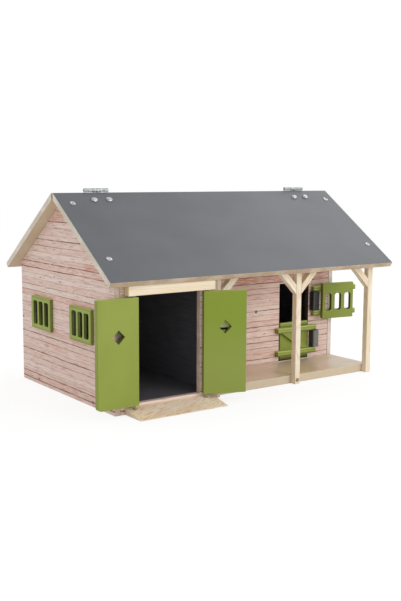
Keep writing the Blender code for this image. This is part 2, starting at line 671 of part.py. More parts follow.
def garage_door_pins(prefix, carrier):
    """The steel pins at the door's foot and head, which turn with it."""
    axis_x = carrier["pivot"].x
    low_top = GARAGE_DOOR_BOTTOM + DOOR_PIN_BITE
    high_bottom = GARAGE_DOOR_TOP - DOOR_PIN_BITE
    high_top = LINTEL_BOTTOM + DOOR_PIN_TOP_BITE
    low = rod(DOOR_PIN_RADIUS, low_top - DOOR_PIN_LOW_END, FINE_SIDES,
              (axis_x, GARAGE_AXIS_Y, DOOR_PIN_LOW_END), UP)
    high = rod(DOOR_PIN_RADIUS, high_top - high_bottom, FINE_SIDES,
               (axis_x, GARAGE_AXIS_Y, high_bottom), UP)
    add_part(prefix + "_bottom_pin", low, "zinc_steel", carrier)
    add_part(prefix + "_top_pin", high, "zinc_steel", carrier)


def garage_doors():
    left = add_axis("garage_left_axis", (LEFT_DOOR_AXIS_X, GARAGE_AXIS_Y, 0),
                    GARAGE_DOOR_LEFT_REST)
    right = add_axis("garage_right_axis", (RIGHT_DOOR_AXIS_X, GARAGE_AXIS_Y, 0),
                     GARAGE_DOOR_RIGHT_REST)
    add_part("garage_door_left", garage_door_shape(LEFT_DOOR_OUTER, 1, True),
             "green_paint", left)
    garage_door_pins("garage_door_left", left)
    add_part("garage_door_right", garage_door_shape(RIGHT_DOOR_OUTER, -1, False),
             "green_paint", right)
    garage_door_pins("garage_door_right", right)
    add_part("garage_door_crossbar", garage_crossbar(), "green_paint", right)


def garage_crossbar():
    """The board behind the right door's diamond, with a groove along its door side."""
    back = GARAGE_DOOR_FRONT_Y - CLEARANCE
    left = RIGHT_DOOR_OUTER - GARAGE_DOOR_WIDTH + CROSSBAR_FREE_INSET
    right = RIGHT_DOOR_OUTER - CROSSBAR_HINGE_INSET
    body = box((left, back - CROSSBAR_THICKNESS, DIAMOND_HEIGHT - CROSSBAR_HEIGHT / 2),
               (right, back, DIAMOND_HEIGHT + CROSSBAR_HEIGHT / 2))
    middle = DIAMOND_HEIGHT - CROSSBAR_GROOVE_DROP
    groove = box((left - CUT_OVERRUN, back - CROSSBAR_GROOVE_DEPTH,
                  middle - CROSSBAR_GROOVE_HEIGHT / 2),
                 (right + CUT_OVERRUN, back + CUT_OVERRUN,
                  middle + CROSSBAR_GROOVE_HEIGHT / 2))
    return cut(body, [groove])


# Stall half doors and their hinges

def hinge_hole(low, high):
    return rod(HINGE_PIN_RADIUS + HINGE_PIN_CLEARANCE, high - low, FINE_SIDES,
               (HINGE_AXIS_X, HINGE_AXIS_Y, low), UP)


def batten(bottom):
    """A door batten: square stock with a round end about the hinge pin."""
    radius = BATTEN_STOCK / 2
    outline = [(BATTEN_LEFT, BATTEN_FRONT_Y)]
    for step in range(2 * ARC_STEPS + 1):
        turn = -math.pi / 2 + math.pi * step / (2 * ARC_STEPS)
        outline.append((HINGE_AXIS_X + radius * math.cos(turn),
                        HINGE_AXIS_Y + radius * math.sin(turn)))
    outline.append((BATTEN_LEFT, BATTEN_BACK_Y))
    body = extruded(outline, "z", bottom, bottom + BATTEN_STOCK)
    top = bottom + BATTEN_STOCK
    return cut(body, [hinge_hole(bottom - CUT_OVERRUN, top + CUT_OVERRUN)])


def door_panel(bottom, top):
    return box((PANEL_LEFT, STALL_FRONT_Y, bottom),
               (PANEL_RIGHT, STALL_FRONT_Y + DOOR_SHEET, top))


def lower_half_door():
    axis = add_axis("stall_lower_axis", (HINGE_AXIS_X, HINGE_AXIS_Y, 0))
    low_batten, high_batten = LOWER_DOOR_BATTENS
    add_part("lower_door_panel", door_panel(LOWER_PANEL_BOTTOM, LOWER_PANEL_TOP),
             "green_paint", axis)
    add_part("lower_door_bottom_batten", batten(low_batten), "green_paint", axis)
    add_part("lower_door_top_batten", batten(high_batten), "green_paint", axis)
    foot = PANEL_LEFT + BRACE_FOOT_LEFT
    low = low_batten + BATTEN_STOCK + CLEARANCE
    high = high_batten - CLEARANCE
    head = foot + BRACE_HEAD_SHIFT
    outline = [(foot, low), (foot + BRACE_FOOT_WIDTH, low),
               (head + BRACE_FOOT_WIDTH, high), (head, high)]
    brace = extruded(outline, "y", BATTEN_BACK_Y - BRACE_THICKNESS, BATTEN_BACK_Y)
    add_part("lower_door_brace", brace, "green_paint", axis)


def upper_half_door():
    axis = add_axis("stall_upper_axis", (HINGE_AXIS_X, HINGE_AXIS_Y, 0), UPPER_DOOR_REST)
    panel = door_panel(UPPER_PANEL_BOTTOM, UPPER_PANEL_TOP)
    middle = (PANEL_LEFT + PANEL_RIGHT) / 2
    slot_middle = (UPPER_PANEL_BOTTOM + UPPER_PANEL_TOP) / 2 - DOOR_SLOT_DROP
    size = (DOOR_SLOT_WIDTH, DOOR_SLOT_HEIGHT, DOOR_SLOT_CORNER)
    tools = [slot(centre, slot_middle, size,
                  "y", STALL_FRONT_Y - CUT_OVERRUN, STALL_BACK_Y + CUT_OVERRUN)
             for centre in slot_centres(middle, DOOR_SLOT_PITCH)]
    add_part("upper_door_panel", cut(panel, tools), "green_paint", axis)
    low_batten, high_batten = UPPER_DOOR_BATTENS
    add_part("upper_door_bottom_batten", batten(low_batten), "green_paint", axis)
    add_part("upper_door_top_batten", batten(high_batten), "green_paint", axis)


def stall_hinge(prefix, batten_heights):
    """A round-cornered block on the wall between two battens, and its pin."""
    low = batten_heights[0] + BATTEN_STOCK + CLEARANCE
    high = batten_heights[1] - CLEARANCE
    half = HINGE_BLOCK_WIDTH / 2
    front = BATTEN_BACK_Y - HINGE_BLOCK_DEPTH
    radius = HINGE_BLOCK_RADIUS
    outline = [(HINGE_AXIS_X + half, BATTEN_BACK_Y), (HINGE_AXIS_X - half, BATTEN_BACK_Y)]
    for corner_x, quarter in ((-1, 2), (1, 3)):
        for step in range(ARC_STEPS + 1):
            turn = math.pi / 2 * (quarter + step / ARC_STEPS)
            outline.append((HINGE_AXIS_X + corner_x * (half - radius) + radius * math.cos(turn),
                            front + radius + radius * math.sin(turn)))
    body = extruded(outline, "z", low, high)
    drilled = cut(body, [hinge_hole(low - CUT_OVERRUN, high + CUT_OVERRUN)])
    add_part(prefix + "_hinge_block", drilled, "dark_grey")
    pin_low = batten_heights[0] + HINGE_PIN_END_SHY
    pin_high = batten_heights[1] + BATTEN_STOCK - HINGE_PIN_END_SHY
    pin = rod(HINGE_PIN_RADIUS, pin_high - pin_low, FINE_SIDES,
              (HINGE_AXIS_X, HINGE_AXIS_Y, pin_low), UP)
    add_part(prefix + "_hinge_pin", pin, "zinc_steel")


# Porch frame

def post_lefts():
    return {"left_post": PORCH_LEFT, "middle_post": MIDDLE_POST_X,
            "right_post": RIGHT_POST_X}


def post_screw_spot():
    """Front face of the middle post, where it is screwed to the porch floor's edge."""
    return Vector((MIDDLE_POST_X + POST_STOCK / 2, POST_FRONT_Y, POST_SCREW_HEIGHT))


def posts():
    for name, left in post_lefts().items():
        body = box((left, POST_FRONT_Y, 0), (left + POST_STOCK, POST_BACK_Y, POST_TOP))
        if name == "middle_post":
            body = cut(body, [screw_hole(post_screw_spot(), BACK)])
        add_part(name, body, "pine")


def post_brace(name, side_x, direction):
    """A 45 degree brace from a post's side up to the porch beam."""
    start = side_x + direction * CLEARANCE
    low = POST_TOP - BRACE_RISE
    width = POST_STOCK * math.sqrt(2)
    outline = [(start, low), (start + direction * BRACE_RISE, POST_TOP),
               (start + direction * (BRACE_RISE - width), POST_TOP),
               (start, low + width)]
    add_part(name, extruded(outline, "y", POST_FRONT_Y, POST_BACK_Y), "pine")


def braces():
    lefts = post_lefts()
    post_brace("left_post_brace", lefts["left_post"] + POST_STOCK, 1)
    post_brace("middle_post_brace_left", lefts["middle_post"], -1)
    post_brace("middle_post_brace_right", lefts["middle_post"] + POST_STOCK, 1)
    post_brace("right_post_brace", lefts["right_post"], -1)


def porch_beam():
    """The rail that rests on the posts and carries the roof's front edge."""
    body = box((PORCH_LEFT, POST_FRONT_Y, PORCH_BEAM_BOTTOM),
               (INNER_RIGHT, POST_BACK_Y, wall_top(POST_FRONT_Y)))
    add_part("porch_beam", body, "pine")


# Roof plates and ridge hinges

def roof_plate(side):
    """A roof plate: square-cut at the eave, plumb at the ridge."""
    left = -ROOF_OVERHANG_LEFT
    right = HOUSE_LENGTH + ROOF_OVERHANG_RIGHT
    ridge_top = RIDGE_HEIGHT - RIDGE_HALF_GAP * math.tan(ROOF_PITCH)
    ridge_y = RIDGE_Y + side * RIDGE_HALF_GAP
    eave_top = roof_spot(side, 0, ROOF_SLOPE_LENGTH, 0)
    eave_low = roof_spot(side, 0, ROOF_SLOPE_LENGTH, SHEET)
    outline = [(ridge_y, ridge_top), (ridge_y, ridge_top - ROOF_DROP),
               (eave_low.y, eave_low.z), (eave_top.y, eave_top.z)]
    inward = roof_inward(side)
    tools = [bolt_hole(roof_spot(side, x, BOLT_SLOPE_PLACE, 0), inward)
             for centre in HINGE_CENTRES for x in bolt_xs(centre)]
    if side == FRONT_SIDE:
        tools += roof_screw_holes()
    return cut(extruded(outline, "x", left, right), tools)


def knuckle_spans(centre, side):
    """The x ranges of a leaf's knuckles: two outer ones, or the middle one."""
    left = centre - HINGE_LENGTH / 2
    third = HINGE_LENGTH / 3
    gap = KNUCKLE_GAP / 2
    if side == FRONT_SIDE:
        return [(left, left + third - gap), (left + 2 * third + gap, left + HINGE_LENGTH)]
    return [(left + third + gap, left + 2 * third - gap)]


def hinge_leaf(centre, side):
    """A cranked leaf: down between the plates, then along a plate's underside."""
    inner_y = RIDGE_Y + side * LEAF_INSET
    outer_y = inner_y + side * LEAF_THICKNESS
    shoulder = ROOF_AXIS_Z - BARREL_RADIUS - CLEARANCE
    upper = SHEET + CLEARANCE
    lower = upper + LEAF_THICKNESS
    slope = math.tan(ROOF_PITCH)
    upper_drop = upper / math.cos(ROOF_PITCH)
    lower_drop = lower / math.cos(ROOF_PITCH)
    bend_upper = RIDGE_HEIGHT - abs(outer_y - RIDGE_Y) * slope - upper_drop
    bend_lower = RIDGE_HEIGHT - abs(inner_y - RIDGE_Y) * slope - lower_drop
    end_upper = roof_spot(side, 0, LEAF_LENGTH, upper)
    end_lower = roof_spot(side, 0, LEAF_LENGTH, lower)
    outline = [(inner_y, shoulder), (outer_y, shoulder), (outer_y, bend_upper),
               (end_upper.y, end_upper.z), (end_lower.y, end_lower.z),
               (inner_y, bend_lower)]
    left = centre - HINGE_LENGTH / 2
    plate = extruded(outline, "x", left, left + HINGE_LENGTH)
    tools = []
    neck_top = ROOF_AXIS_Z - BARREL_RADIUS * LEAF_NECK_SHARE
    bores = []
    for start, end in knuckle_spans(centre, side):
        neck = [(inner_y, bend_upper), (outer_y, bend_upper),
                (outer_y, neck_top), (inner_y, neck_top)]
        tools.append(extruded(neck, "x", start, end))
        tools.append(rod(BARREL_RADIUS, end - start, ROUND_SIDES,
                         (start, RIDGE_Y, ROOF_AXIS_Z), RIGHT))
        bores.append(rod(BARREL_BORE, end - start + 2 * KNUCKLE_GAP, FINE_SIDES,
                         (start - KNUCKLE_GAP, RIDGE_Y, ROOF_AXIS_Z), RIGHT))
    leaf = joined(plate, tools)
    inward = roof_inward(side)
    holes = [bolt_hole(roof_spot(side, x, BOLT_SLOPE_PLACE, 0), inward)
             for x in bolt_xs(centre)]
    return cut(leaf, bores + holes)


def roof_hinge_pin(centre):
    return rod(ROOF_PIN_RADIUS, HINGE_LENGTH, FINE_SIDES,
               (centre - HINGE_LENGTH / 2, RIDGE_Y, ROOF_AXIS_Z), RIGHT)


def hinge_bolts(prefix, centre, side, carrier=None):
    """The two bolts of one hinge leaf."""
    inward = roof_inward(side)
    for number, x in enumerate(bolt_xs(centre), 1):
        spot = roof_spot(side, x, BOLT_SLOPE_PLACE, 0)
        add_part(f"{prefix}_bolt_{number}", hinge_bolt(spot, inward), "zinc_steel", carrier)


def roof():
    axis = add_axis("roof_axis", (HOUSE_LENGTH / 2, RIDGE_Y, ROOF_AXIS_Z))
    add_part("front_roof_panel", roof_plate(FRONT_SIDE), "roof_grey")
    add_part("back_roof_panel", roof_plate(BACK_SIDE), "roof_grey", axis)
    for name, centre in zip(("left", "right"), HINGE_CENTRES):
        add_part(name + "_roof_hinge_fixed_leaf", hinge_leaf(centre, FRONT_SIDE),
                 "zinc_steel")
        add_part(name + "_roof_hinge_moving_leaf", hinge_leaf(centre, BACK_SIDE),
                 "zinc_steel", axis)
        add_part(name + "_roof_hinge_pin", roof_hinge_pin(centre), "zinc_steel")
        hinge_bolts(name + "_hinge_front", centre, FRONT_SIDE)
        hinge_bolts(name + "_hinge_back", centre, BACK_SIDE, axis)


def screws():
    inward = roof_inward(FRONT_SIDE)
    names = ("left_high", "left_low", "right_high", "right_low")
    for name, spot in zip(names, roof_screw_spots()):
        add_part("roof_screw_" + name, screw(spot, inward), "zinc_steel")
    add_part("middle_post_screw", screw(post_screw_spot(), BACK), "zinc_steel")


def clear_scene():
    for item in list(bpy.data.objects):
        bpy.data.objects.remove(item)


def build():
    clear_scene()
    inner_floor()
    porch_floor()
    left_gable_wall()
    right_gable_wall()
    back_wall()
    garage_front_wall()
    garage_side_wall()
    stall_front_wall()
    stall_divider()
    window_frame("front_window_frame", WINDOW_FRONT_Y)
    window_frame("rear_window_frame", WINDOW_REAR_Y)
    lintel_beam()
    garage_ramp()
    garage_doors()
    lower_half_door()
    upper_half_door()
    stall_hinge("lower", LOWER_DOOR_BATTENS)
    stall_hinge("upper", UPPER_DOOR_BATTENS)
    posts()
    braces()
    porch_beam()
    roof()
    screws()


build()
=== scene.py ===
"""Looks of a toy barn with opening doors: printed plank walls, a grey hinged roof, green doors
and window frames, pale pine posts and beams, a wooden ramp and bright steel hinges and screws.

Lengths with MM in their name, and every place in "house" coordinates, are in millimetres: x runs
along the front from the left gable's outer face, y runs back from the garage front's outer face
and z runs up from the underside of the walls. The frame is in metres.
"""

import math

import bpy
from mathutils import Matrix, Vector

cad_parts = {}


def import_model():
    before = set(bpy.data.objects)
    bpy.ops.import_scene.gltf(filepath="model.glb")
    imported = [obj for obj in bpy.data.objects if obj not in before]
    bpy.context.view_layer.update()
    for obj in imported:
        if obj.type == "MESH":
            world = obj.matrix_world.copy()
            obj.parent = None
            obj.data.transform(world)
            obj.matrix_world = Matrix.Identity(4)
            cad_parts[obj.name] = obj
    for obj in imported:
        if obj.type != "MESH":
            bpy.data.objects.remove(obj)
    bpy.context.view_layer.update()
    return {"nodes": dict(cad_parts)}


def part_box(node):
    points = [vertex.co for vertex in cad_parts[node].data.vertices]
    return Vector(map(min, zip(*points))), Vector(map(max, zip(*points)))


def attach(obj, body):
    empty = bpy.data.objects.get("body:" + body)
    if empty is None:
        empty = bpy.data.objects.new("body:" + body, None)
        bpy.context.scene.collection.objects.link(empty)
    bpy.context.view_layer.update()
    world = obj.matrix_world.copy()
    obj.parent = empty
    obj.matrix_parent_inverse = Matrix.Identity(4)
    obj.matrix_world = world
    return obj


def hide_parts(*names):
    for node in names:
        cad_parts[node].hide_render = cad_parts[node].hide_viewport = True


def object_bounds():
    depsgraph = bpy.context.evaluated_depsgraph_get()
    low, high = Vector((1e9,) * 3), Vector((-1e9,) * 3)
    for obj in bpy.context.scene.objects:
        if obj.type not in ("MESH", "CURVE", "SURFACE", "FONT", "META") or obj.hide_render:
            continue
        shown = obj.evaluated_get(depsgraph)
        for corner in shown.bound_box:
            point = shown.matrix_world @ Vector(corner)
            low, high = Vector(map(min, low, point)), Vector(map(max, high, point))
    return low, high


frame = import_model()
nodes = frame["nodes"]

# The house's own coordinates

MM = 1000.0                                  # millimetres in a metre
HOUSE_CORNER = Vector((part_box("left_gable_wall")[0].x,
                       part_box("garage_front_wall")[0].y,
                       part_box("left_gable_wall")[0].z))
HOUSE_SHIFT_MM = tuple(-MM * c for c in HOUSE_CORNER)

X, Y, Z = range(3)


def world(x, y, z):
    """The frame's point, in metres, at house coordinates in millimetres."""
    return HOUSE_CORNER + Vector((x, y, z)) / MM


def house_box(node):
    """A node's lowest and highest corners in house millimetres."""
    low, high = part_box(node)
    return (low - HOUSE_CORNER) * MM, (high - HOUSE_CORNER) * MM


# Camera

CAMERA_PLACE_MM = (-421.72, -730.23, 228.72)
CAMERA_YAW, CAMERA_PITCH, CAMERA_ROLL = (math.radians(a) for a in (35.495, 7.916, 0.27))
CAMERA_LENS_MM = 54.30
SENSOR_MM = 36.0
NEAREST, FURTHEST = 0.01, 50.0               # metres from the camera that it sees between


def make_camera():
    """A view from the front left, from a little above the ridge."""
    forward = Vector((math.sin(CAMERA_YAW) * math.cos(CAMERA_PITCH),
                      math.cos(CAMERA_YAW) * math.cos(CAMERA_PITCH),
                      -math.sin(CAMERA_PITCH)))
    level = Vector((math.cos(CAMERA_YAW), -math.sin(CAMERA_YAW), 0.0))
    upward = level.cross(forward)
    right = level * math.cos(CAMERA_ROLL) + upward * math.sin(CAMERA_ROLL)
    up = right.cross(forward)
    data = bpy.data.cameras.new("camera")
    data.sensor_fit = "AUTO"
    data.sensor_width = SENSOR_MM
    data.lens = CAMERA_LENS_MM
    data.clip_start, data.clip_end = NEAREST, FURTHEST
    camera = bpy.data.objects.new("camera", data)
    bpy.context.scene.collection.objects.link(camera)
    turned = Matrix((right, up, -forward)).transposed().to_4x4()
    camera.matrix_world = Matrix.Translation(world(*CAMERA_PLACE_MM)) @ turned
    bpy.context.scene.camera = camera


# Light and floor

AMBIENT = 0.78                 # light from all round
LAMPS = {                      # place, aim, size in metres and power in watts
    "front_softbox": ((0.55, -1.70, 0.62), (0.0, 0.0, 0.08), 1.0, 9.0),
    "right_softbox": ((1.00, 0.25, 1.00), (0.1, 0.0, 0.15), 0.8, 2.6),
}
FLOOR_HALF = 6.0               # metres
FLOOR_DROP = 0.0003            # the floor lies this far under the walls
FLOOR_WHITE = 0.88
FLOOR_GLOW = 1.1               # what the camera sees of the floor besides its own shading
FLOOR_SHADE_SHARE = 0.25


def make_stage():
    """A white floor and surroundings, light from all round and two large soft lamps."""
    scene = bpy.context.scene
    scene.view_settings.view_transform = "Standard"

    room = bpy.data.worlds.new("room")
    room.use_nodes = True
    tree = room.node_tree
    tree.nodes.clear()
    path = tree.nodes.new("ShaderNodeLightPath")
    seen = tree.nodes.new("ShaderNodeMath")
    seen.operation = "MAXIMUM"
    tree.links.new(path.outputs["Is Camera Ray"], seen.inputs[0])
    tree.links.new(path.outputs["Is Transmission Ray"], seen.inputs[1])
    strength = tree.nodes.new("ShaderNodeMapRange")
    strength.inputs["To Min"].default_value = AMBIENT
    strength.inputs["To Max"].default_value = 1.0
    tree.links.new(seen.outputs[0], strength.inputs["Value"])
    background = tree.nodes.new("ShaderNodeBackground")
    background.inputs["Color"].default_value = (1.0, 1.0, 1.0, 1.0)
    tree.links.new(strength.outputs[0], background.inputs["Strength"])
    output = tree.nodes.new("ShaderNodeOutputWorld")
    tree.links.new(background.outputs[0], output.inputs["Surface"])
    scene.world = room

    for name, (place, aim_at, size, power) in LAMPS.items():
        lamp = bpy.data.lights.new(name, "AREA")
        lamp.shape = "SQUARE"
        lamp.size = size
        lamp.energy = power
        holder = bpy.data.objects.new(name, lamp)
        scene.collection.objects.link(holder)
        turn = (Vector(aim_at) - Vector(place)).to_track_quat("-Z", "Y")
        holder.matrix_world = Matrix.Translation(place) @ turn.to_matrix().to_4x4()

    floor_mesh = bpy.data.meshes.new("floor")
    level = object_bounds()[0][2] - FLOOR_DROP
    corners = [(sx * FLOOR_HALF, sy * FLOOR_HALF, level)
               for sx, sy in ((-1, -1), (1, -1), (1, 1), (-1, 1))]
    floor_mesh.from_pydata(corners, [], [(0, 1, 2, 3)])
    floor = bpy.data.objects.new("floor", floor_mesh)
    scene.collection.objects.link(floor)
    white = bpy.data.materials.new("floor_white")
    white.use_nodes = True
    tree = white.node_tree
    tree.nodes.clear()
    matt = tree.nodes.new("ShaderNodeBsdfDiffuse")
    matt.inputs["Color"].default_value = (FLOOR_WHITE,) * 3 + (1.0,)
    glow = tree.nodes.new("ShaderNodeEmission")
    glow.inputs["Strength"].default_value = FLOOR_GLOW
    path = tree.nodes.new("ShaderNodeLightPath")
    share = tree.nodes.new("ShaderNodeMath")
    share.operation = "MULTIPLY"
    share.inputs[1].default_value = 1.0 - FLOOR_SHADE_SHARE
    tree.links.new(path.outputs["Is Camera Ray"], share.inputs[0])
    mixed = tree.nodes.new("ShaderNodeMixShader")
    tree.links.new(share.outputs[0], mixed.inputs[0])
    tree.links.new(matt.outputs[0], mixed.inputs[1])
    tree.links.new(glow.outputs[0], mixed.inputs[2])
    output = tree.nodes.new("ShaderNodeOutputMaterial")
    tree.links.new(mixed.outputs[0], output.inputs["Surface"])
    floor_mesh.materials.append(white)


# A short way to write shaders

def rgb(code):
    """The scene's linear colour for six hexadecimal digits, by the sRGB standard's curve."""
    parts = [int(code[i:i + 2], 16) / 255.0 for i in (0, 2, 4)]
    linear = [c / 12.92 if c <= 0.04045 else ((c + 0.055) / 1.055) ** 2.4 for c in parts]
    return (*linear, 1.0)


class Shade:
    """One material's node tree, with a short call for each kind of node it uses."""

    def __init__(self, name):
        self.material = bpy.data.materials.new(name)
        self.material.use_nodes = True
        self.tree = self.material.node_tree
        self.tree.nodes.clear()
        coordinates = self.add("ShaderNodeTexCoord")
        self.place = self.vector("MULTIPLY_ADD", coordinates.outputs["Object"],
                                 (MM, MM, MM), HOUSE_SHIFT_MM)
        self.axes = self.split(self.place)
        self.facing = self.split(coordinates.outputs["Normal"])
        self.normal = coordinates.outputs["Normal"]

    def add(self, kind, **settings):
        node = self.tree.nodes.new(kind)
        for key, value in settings.items():
            setattr(node, key, value)
        return node

    def put(self, socket, value):
        if isinstance(value, bpy.types.NodeSocket):
            self.tree.links.new(value, socket)
        else:
            socket.default_value = value

    def math(self, operation, *values):
        node = self.add("ShaderNodeMath", operation=operation)
        for socket, value in zip(node.inputs, values):
            self.put(socket, value)
        return node.outputs[0]

    def plus(self, a, b):
        return self.math("ADD", a, b)

    def times(self, a, b):
        return self.math("MULTIPLY", a, b)

    def folded(self, operation, values):
        result, *others = values
        for value in others:
            result = self.math(operation, result, value)
        return result

    def largest(self, values):
        return self.folded("MAXIMUM", values)

    def total(self, values):
        return self.folded("ADD", values)

    def vector(self, operation, *values):
        node = self.add("ShaderNodeVectorMath", operation=operation)
        for socket, value in zip(node.inputs, values):
            self.put(socket, value)
        return node.outputs[0]

    def dot(self, a, b):
        node = self.add("ShaderNodeVectorMath", operation="DOT_PRODUCT")
        self.put(node.inputs[0], a)
        self.put(node.inputs[1], b)
        return node.outputs["Value"]

    def split(self, vector):
        node = self.add("ShaderNodeSeparateXYZ")
        self.put(node.inputs[0], vector)
        return tuple(node.outputs)

    def join(self, x, y, z):
        node = self.add("ShaderNodeCombineXYZ")
        for socket, value in zip(node.inputs, (x, y, z)):
            self.put(socket, value)
        return node.outputs[0]

    def rise(self, value, low, high, to_low=0.0, to_high=1.0):
        """A smooth step from to_low to to_high as value goes from low to high."""
        node = self.add("ShaderNodeMapRange", interpolation_type="SMOOTHSTEP")
        for key, number in (("Value", value), ("From Min", low), ("From Max", high),
                            ("To Min", to_low), ("To Max", to_high)):
            self.put(node.inputs[key], number)
        return node.outputs[0]

    def near(self, value, centre, half, soft):
        """1 within half of centre, falling smoothly to 0 over soft."""
        away = self.math("ABSOLUTE", self.math("SUBTRACT", value, centre))
        return self.rise(away, half + soft, half)

    def within(self, value, low, high, soft):
        """1 between low and high, falling smoothly to 0 over soft on both sides."""
        return self.near(value, (low + high) / 2.0, (high - low) / 2.0, soft)

    def noise(self, vector, detail=2.0, roughness=0.5, distortion=0.0, scale=1.0):
        node = self.add("ShaderNodeTexNoise")
        for key, number in (("Vector", vector), ("Scale", scale), ("Detail", detail),
                            ("Roughness", roughness), ("Distortion", distortion)):
            self.put(node.inputs[key], number)
        return node.outputs[0]

    def chance(self, value):
        """A number between 0 and 1 that is different for each different value."""
        node = self.add("ShaderNodeTexWhiteNoise", noise_dimensions="1D")
        self.put(node.inputs["W"], value)
        return node.outputs[0]

    def mix(self, share, a, b):
        node = self.add("ShaderNodeMix", data_type="RGBA", clamp_factor=True)
        self.put(node.inputs[0], share)
        self.put(node.inputs[6], a)
        self.put(node.inputs[7], b)
        return node.outputs[2]

    def stretched(self, *per_mm):
        """The place, with each axis scaled to that many features per millimetre."""
        return self.vector("MULTIPLY", self.place, per_mm)

    def rings(self, value, count, width):
        """Thin lines where value crosses each of count evenly spaced levels."""
        level = self.math("PINGPONG", self.times(value, count), 0.5)
        return self.rise(level, width, 0.0)

    def finish(self, colour, roughness, height=None, bump_mm=0.1, metallic=0.0,
               coat=0.0, specular=0.5):
        shader = self.add("ShaderNodeBsdfPrincipled")
        self.put(shader.inputs["Base Color"], colour)
        self.put(shader.inputs["Roughness"], roughness)
        self.put(shader.inputs["Metallic"], metallic)
        self.put(shader.inputs["Coat Weight"], coat)
        self.put(shader.inputs["Specular IOR Level"], specular)
        if height is not None:
            bump = self.add("ShaderNodeBump")
            bump.inputs["Strength"].default_value = 1.0
            bump.inputs["Distance"].default_value = bump_mm / MM
            self.put(bump.inputs["Height"], height)
            self.put(shader.inputs["Normal"], bump.outputs[0])
        output = self.add("ShaderNodeOutputMaterial")
        self.put(output.inputs["Surface"], shader.outputs[0])
        return self.material


# Printed plank walls

PRINT_REPEAT_MM = 123.8        # the printed pattern starts again at this height

# Heights of the joints between the printed boards, from the bottom of the wall, by how dark
# the joint is. Those of the gable repeat upwards.
GABLE_JOINTS_MM = {
    "strong": (4.1, 10.8, 36.3, 55.9),
    "medium": (29.3, 49.1, 88.7, 102.9, 109.0),
    "faint": (13.8, 16.9, 22.3, 41.0, 62.4, 66.9, 72.6, 78.0, 85.0, 97.0, 116.0, 121.5),
}
STALL_JOINTS_MM = {
    "strong": (15.5, 35.3, 54.0, 72.5, 104.4),
    "medium": (10.0, 28.5, 41.8, 49.0, 60.5, 91.9, 98.2, 112.0),
    "faint": (22.3, 31.4, 66.8, 77.8, 81.5, 86.2, 117.0),
}
JOINT_HALF_MM = {"strong": 0.24, "medium": 0.16, "faint": 0.1}
JOINT_SOFT_MM = {"strong": 0.55, "medium": 0.5, "faint": 0.45}
JOINT_DARKNESS = {"strong": 1.0, "medium": 0.72, "faint": 0.42}
SWAY_MM, TREMBLE_MM = 1.6, 0.5         # how far the joints wander up and down, slowly and fast
BOARD_SHIFT = 7.31                     # sets the grain of each printed board off from the last
FLUSH_FADE_MM = (9.0, 1.2)             # how softly a flush ends along and across the planks
# How softly the painted shade fades out: on the cut sides of openings, then on faces inside the
# building.
HOLE_SOFT_MM, INSIDE_SHADE_SOFT_MM = 0.2, 0.5
PRINT_FACING = (0.55, 0.75)            # a face this square to the print's direction carries it

PRINT_PALE, PRINT_PINK, PRINT_CREAM = rgb("f3e0d6"), rgb("ecd1c5"), rgb("f9ede3")
PRINT_SALMON, PRINT_BROWN, PRINT_JOINT = rgb("dd9c87"), rgb("a67a6a"), rgb("6f4435")
RAW_BOARD, RAW_BOARD_DARK, RAW_BOARD_LIGHT = rgb("c6b097"), rgb("a58d70"), rgb("d8c7b0")
WALL_EDGE, WALL_EDGE_DARK, WALL_EDGE_LIGHT = rgb("dcc5b7"), rgb("bb9f8e"), rgb("ecdccf")
# A paler copy of the cut-edge colours for the right gable: painted light on its edge in the
# porch's shade.
LIT_EDGE = (rgb("ecddd6"), rgb("d0bcb3"), rgb("f5ebe6"))
# Painted shade on the cut sides of the window and door openings.
REVEAL_SHADE = rgb("4a433e")
# Painted shade: the near-black of every face inside the building.
INNER_SHADE, INNER_SHADE_GRAIN = rgb("55545a"), rgb("66646a")


def raw_board(s, tint=None):
    """The colour of bare board where it is cut: fine fibres along no one direction."""
    middle, dark, light = tint or (RAW_BOARD, RAW_BOARD_DARK, RAW_BOARD_LIGHT)
    fibre = s.noise(s.stretched(0.9, 0.9, 2.6), detail=4.0, roughness=0.65)
    blotch = s.noise(s.stretched(0.05, 0.05, 0.08), detail=2.0)
    colour = s.mix(s.rise(fibre, 0.35, 0.65), dark, middle)
    return s.mix(s.rise(blotch, 0.4, 0.7, 0.0, 0.6), colour, light), fibre


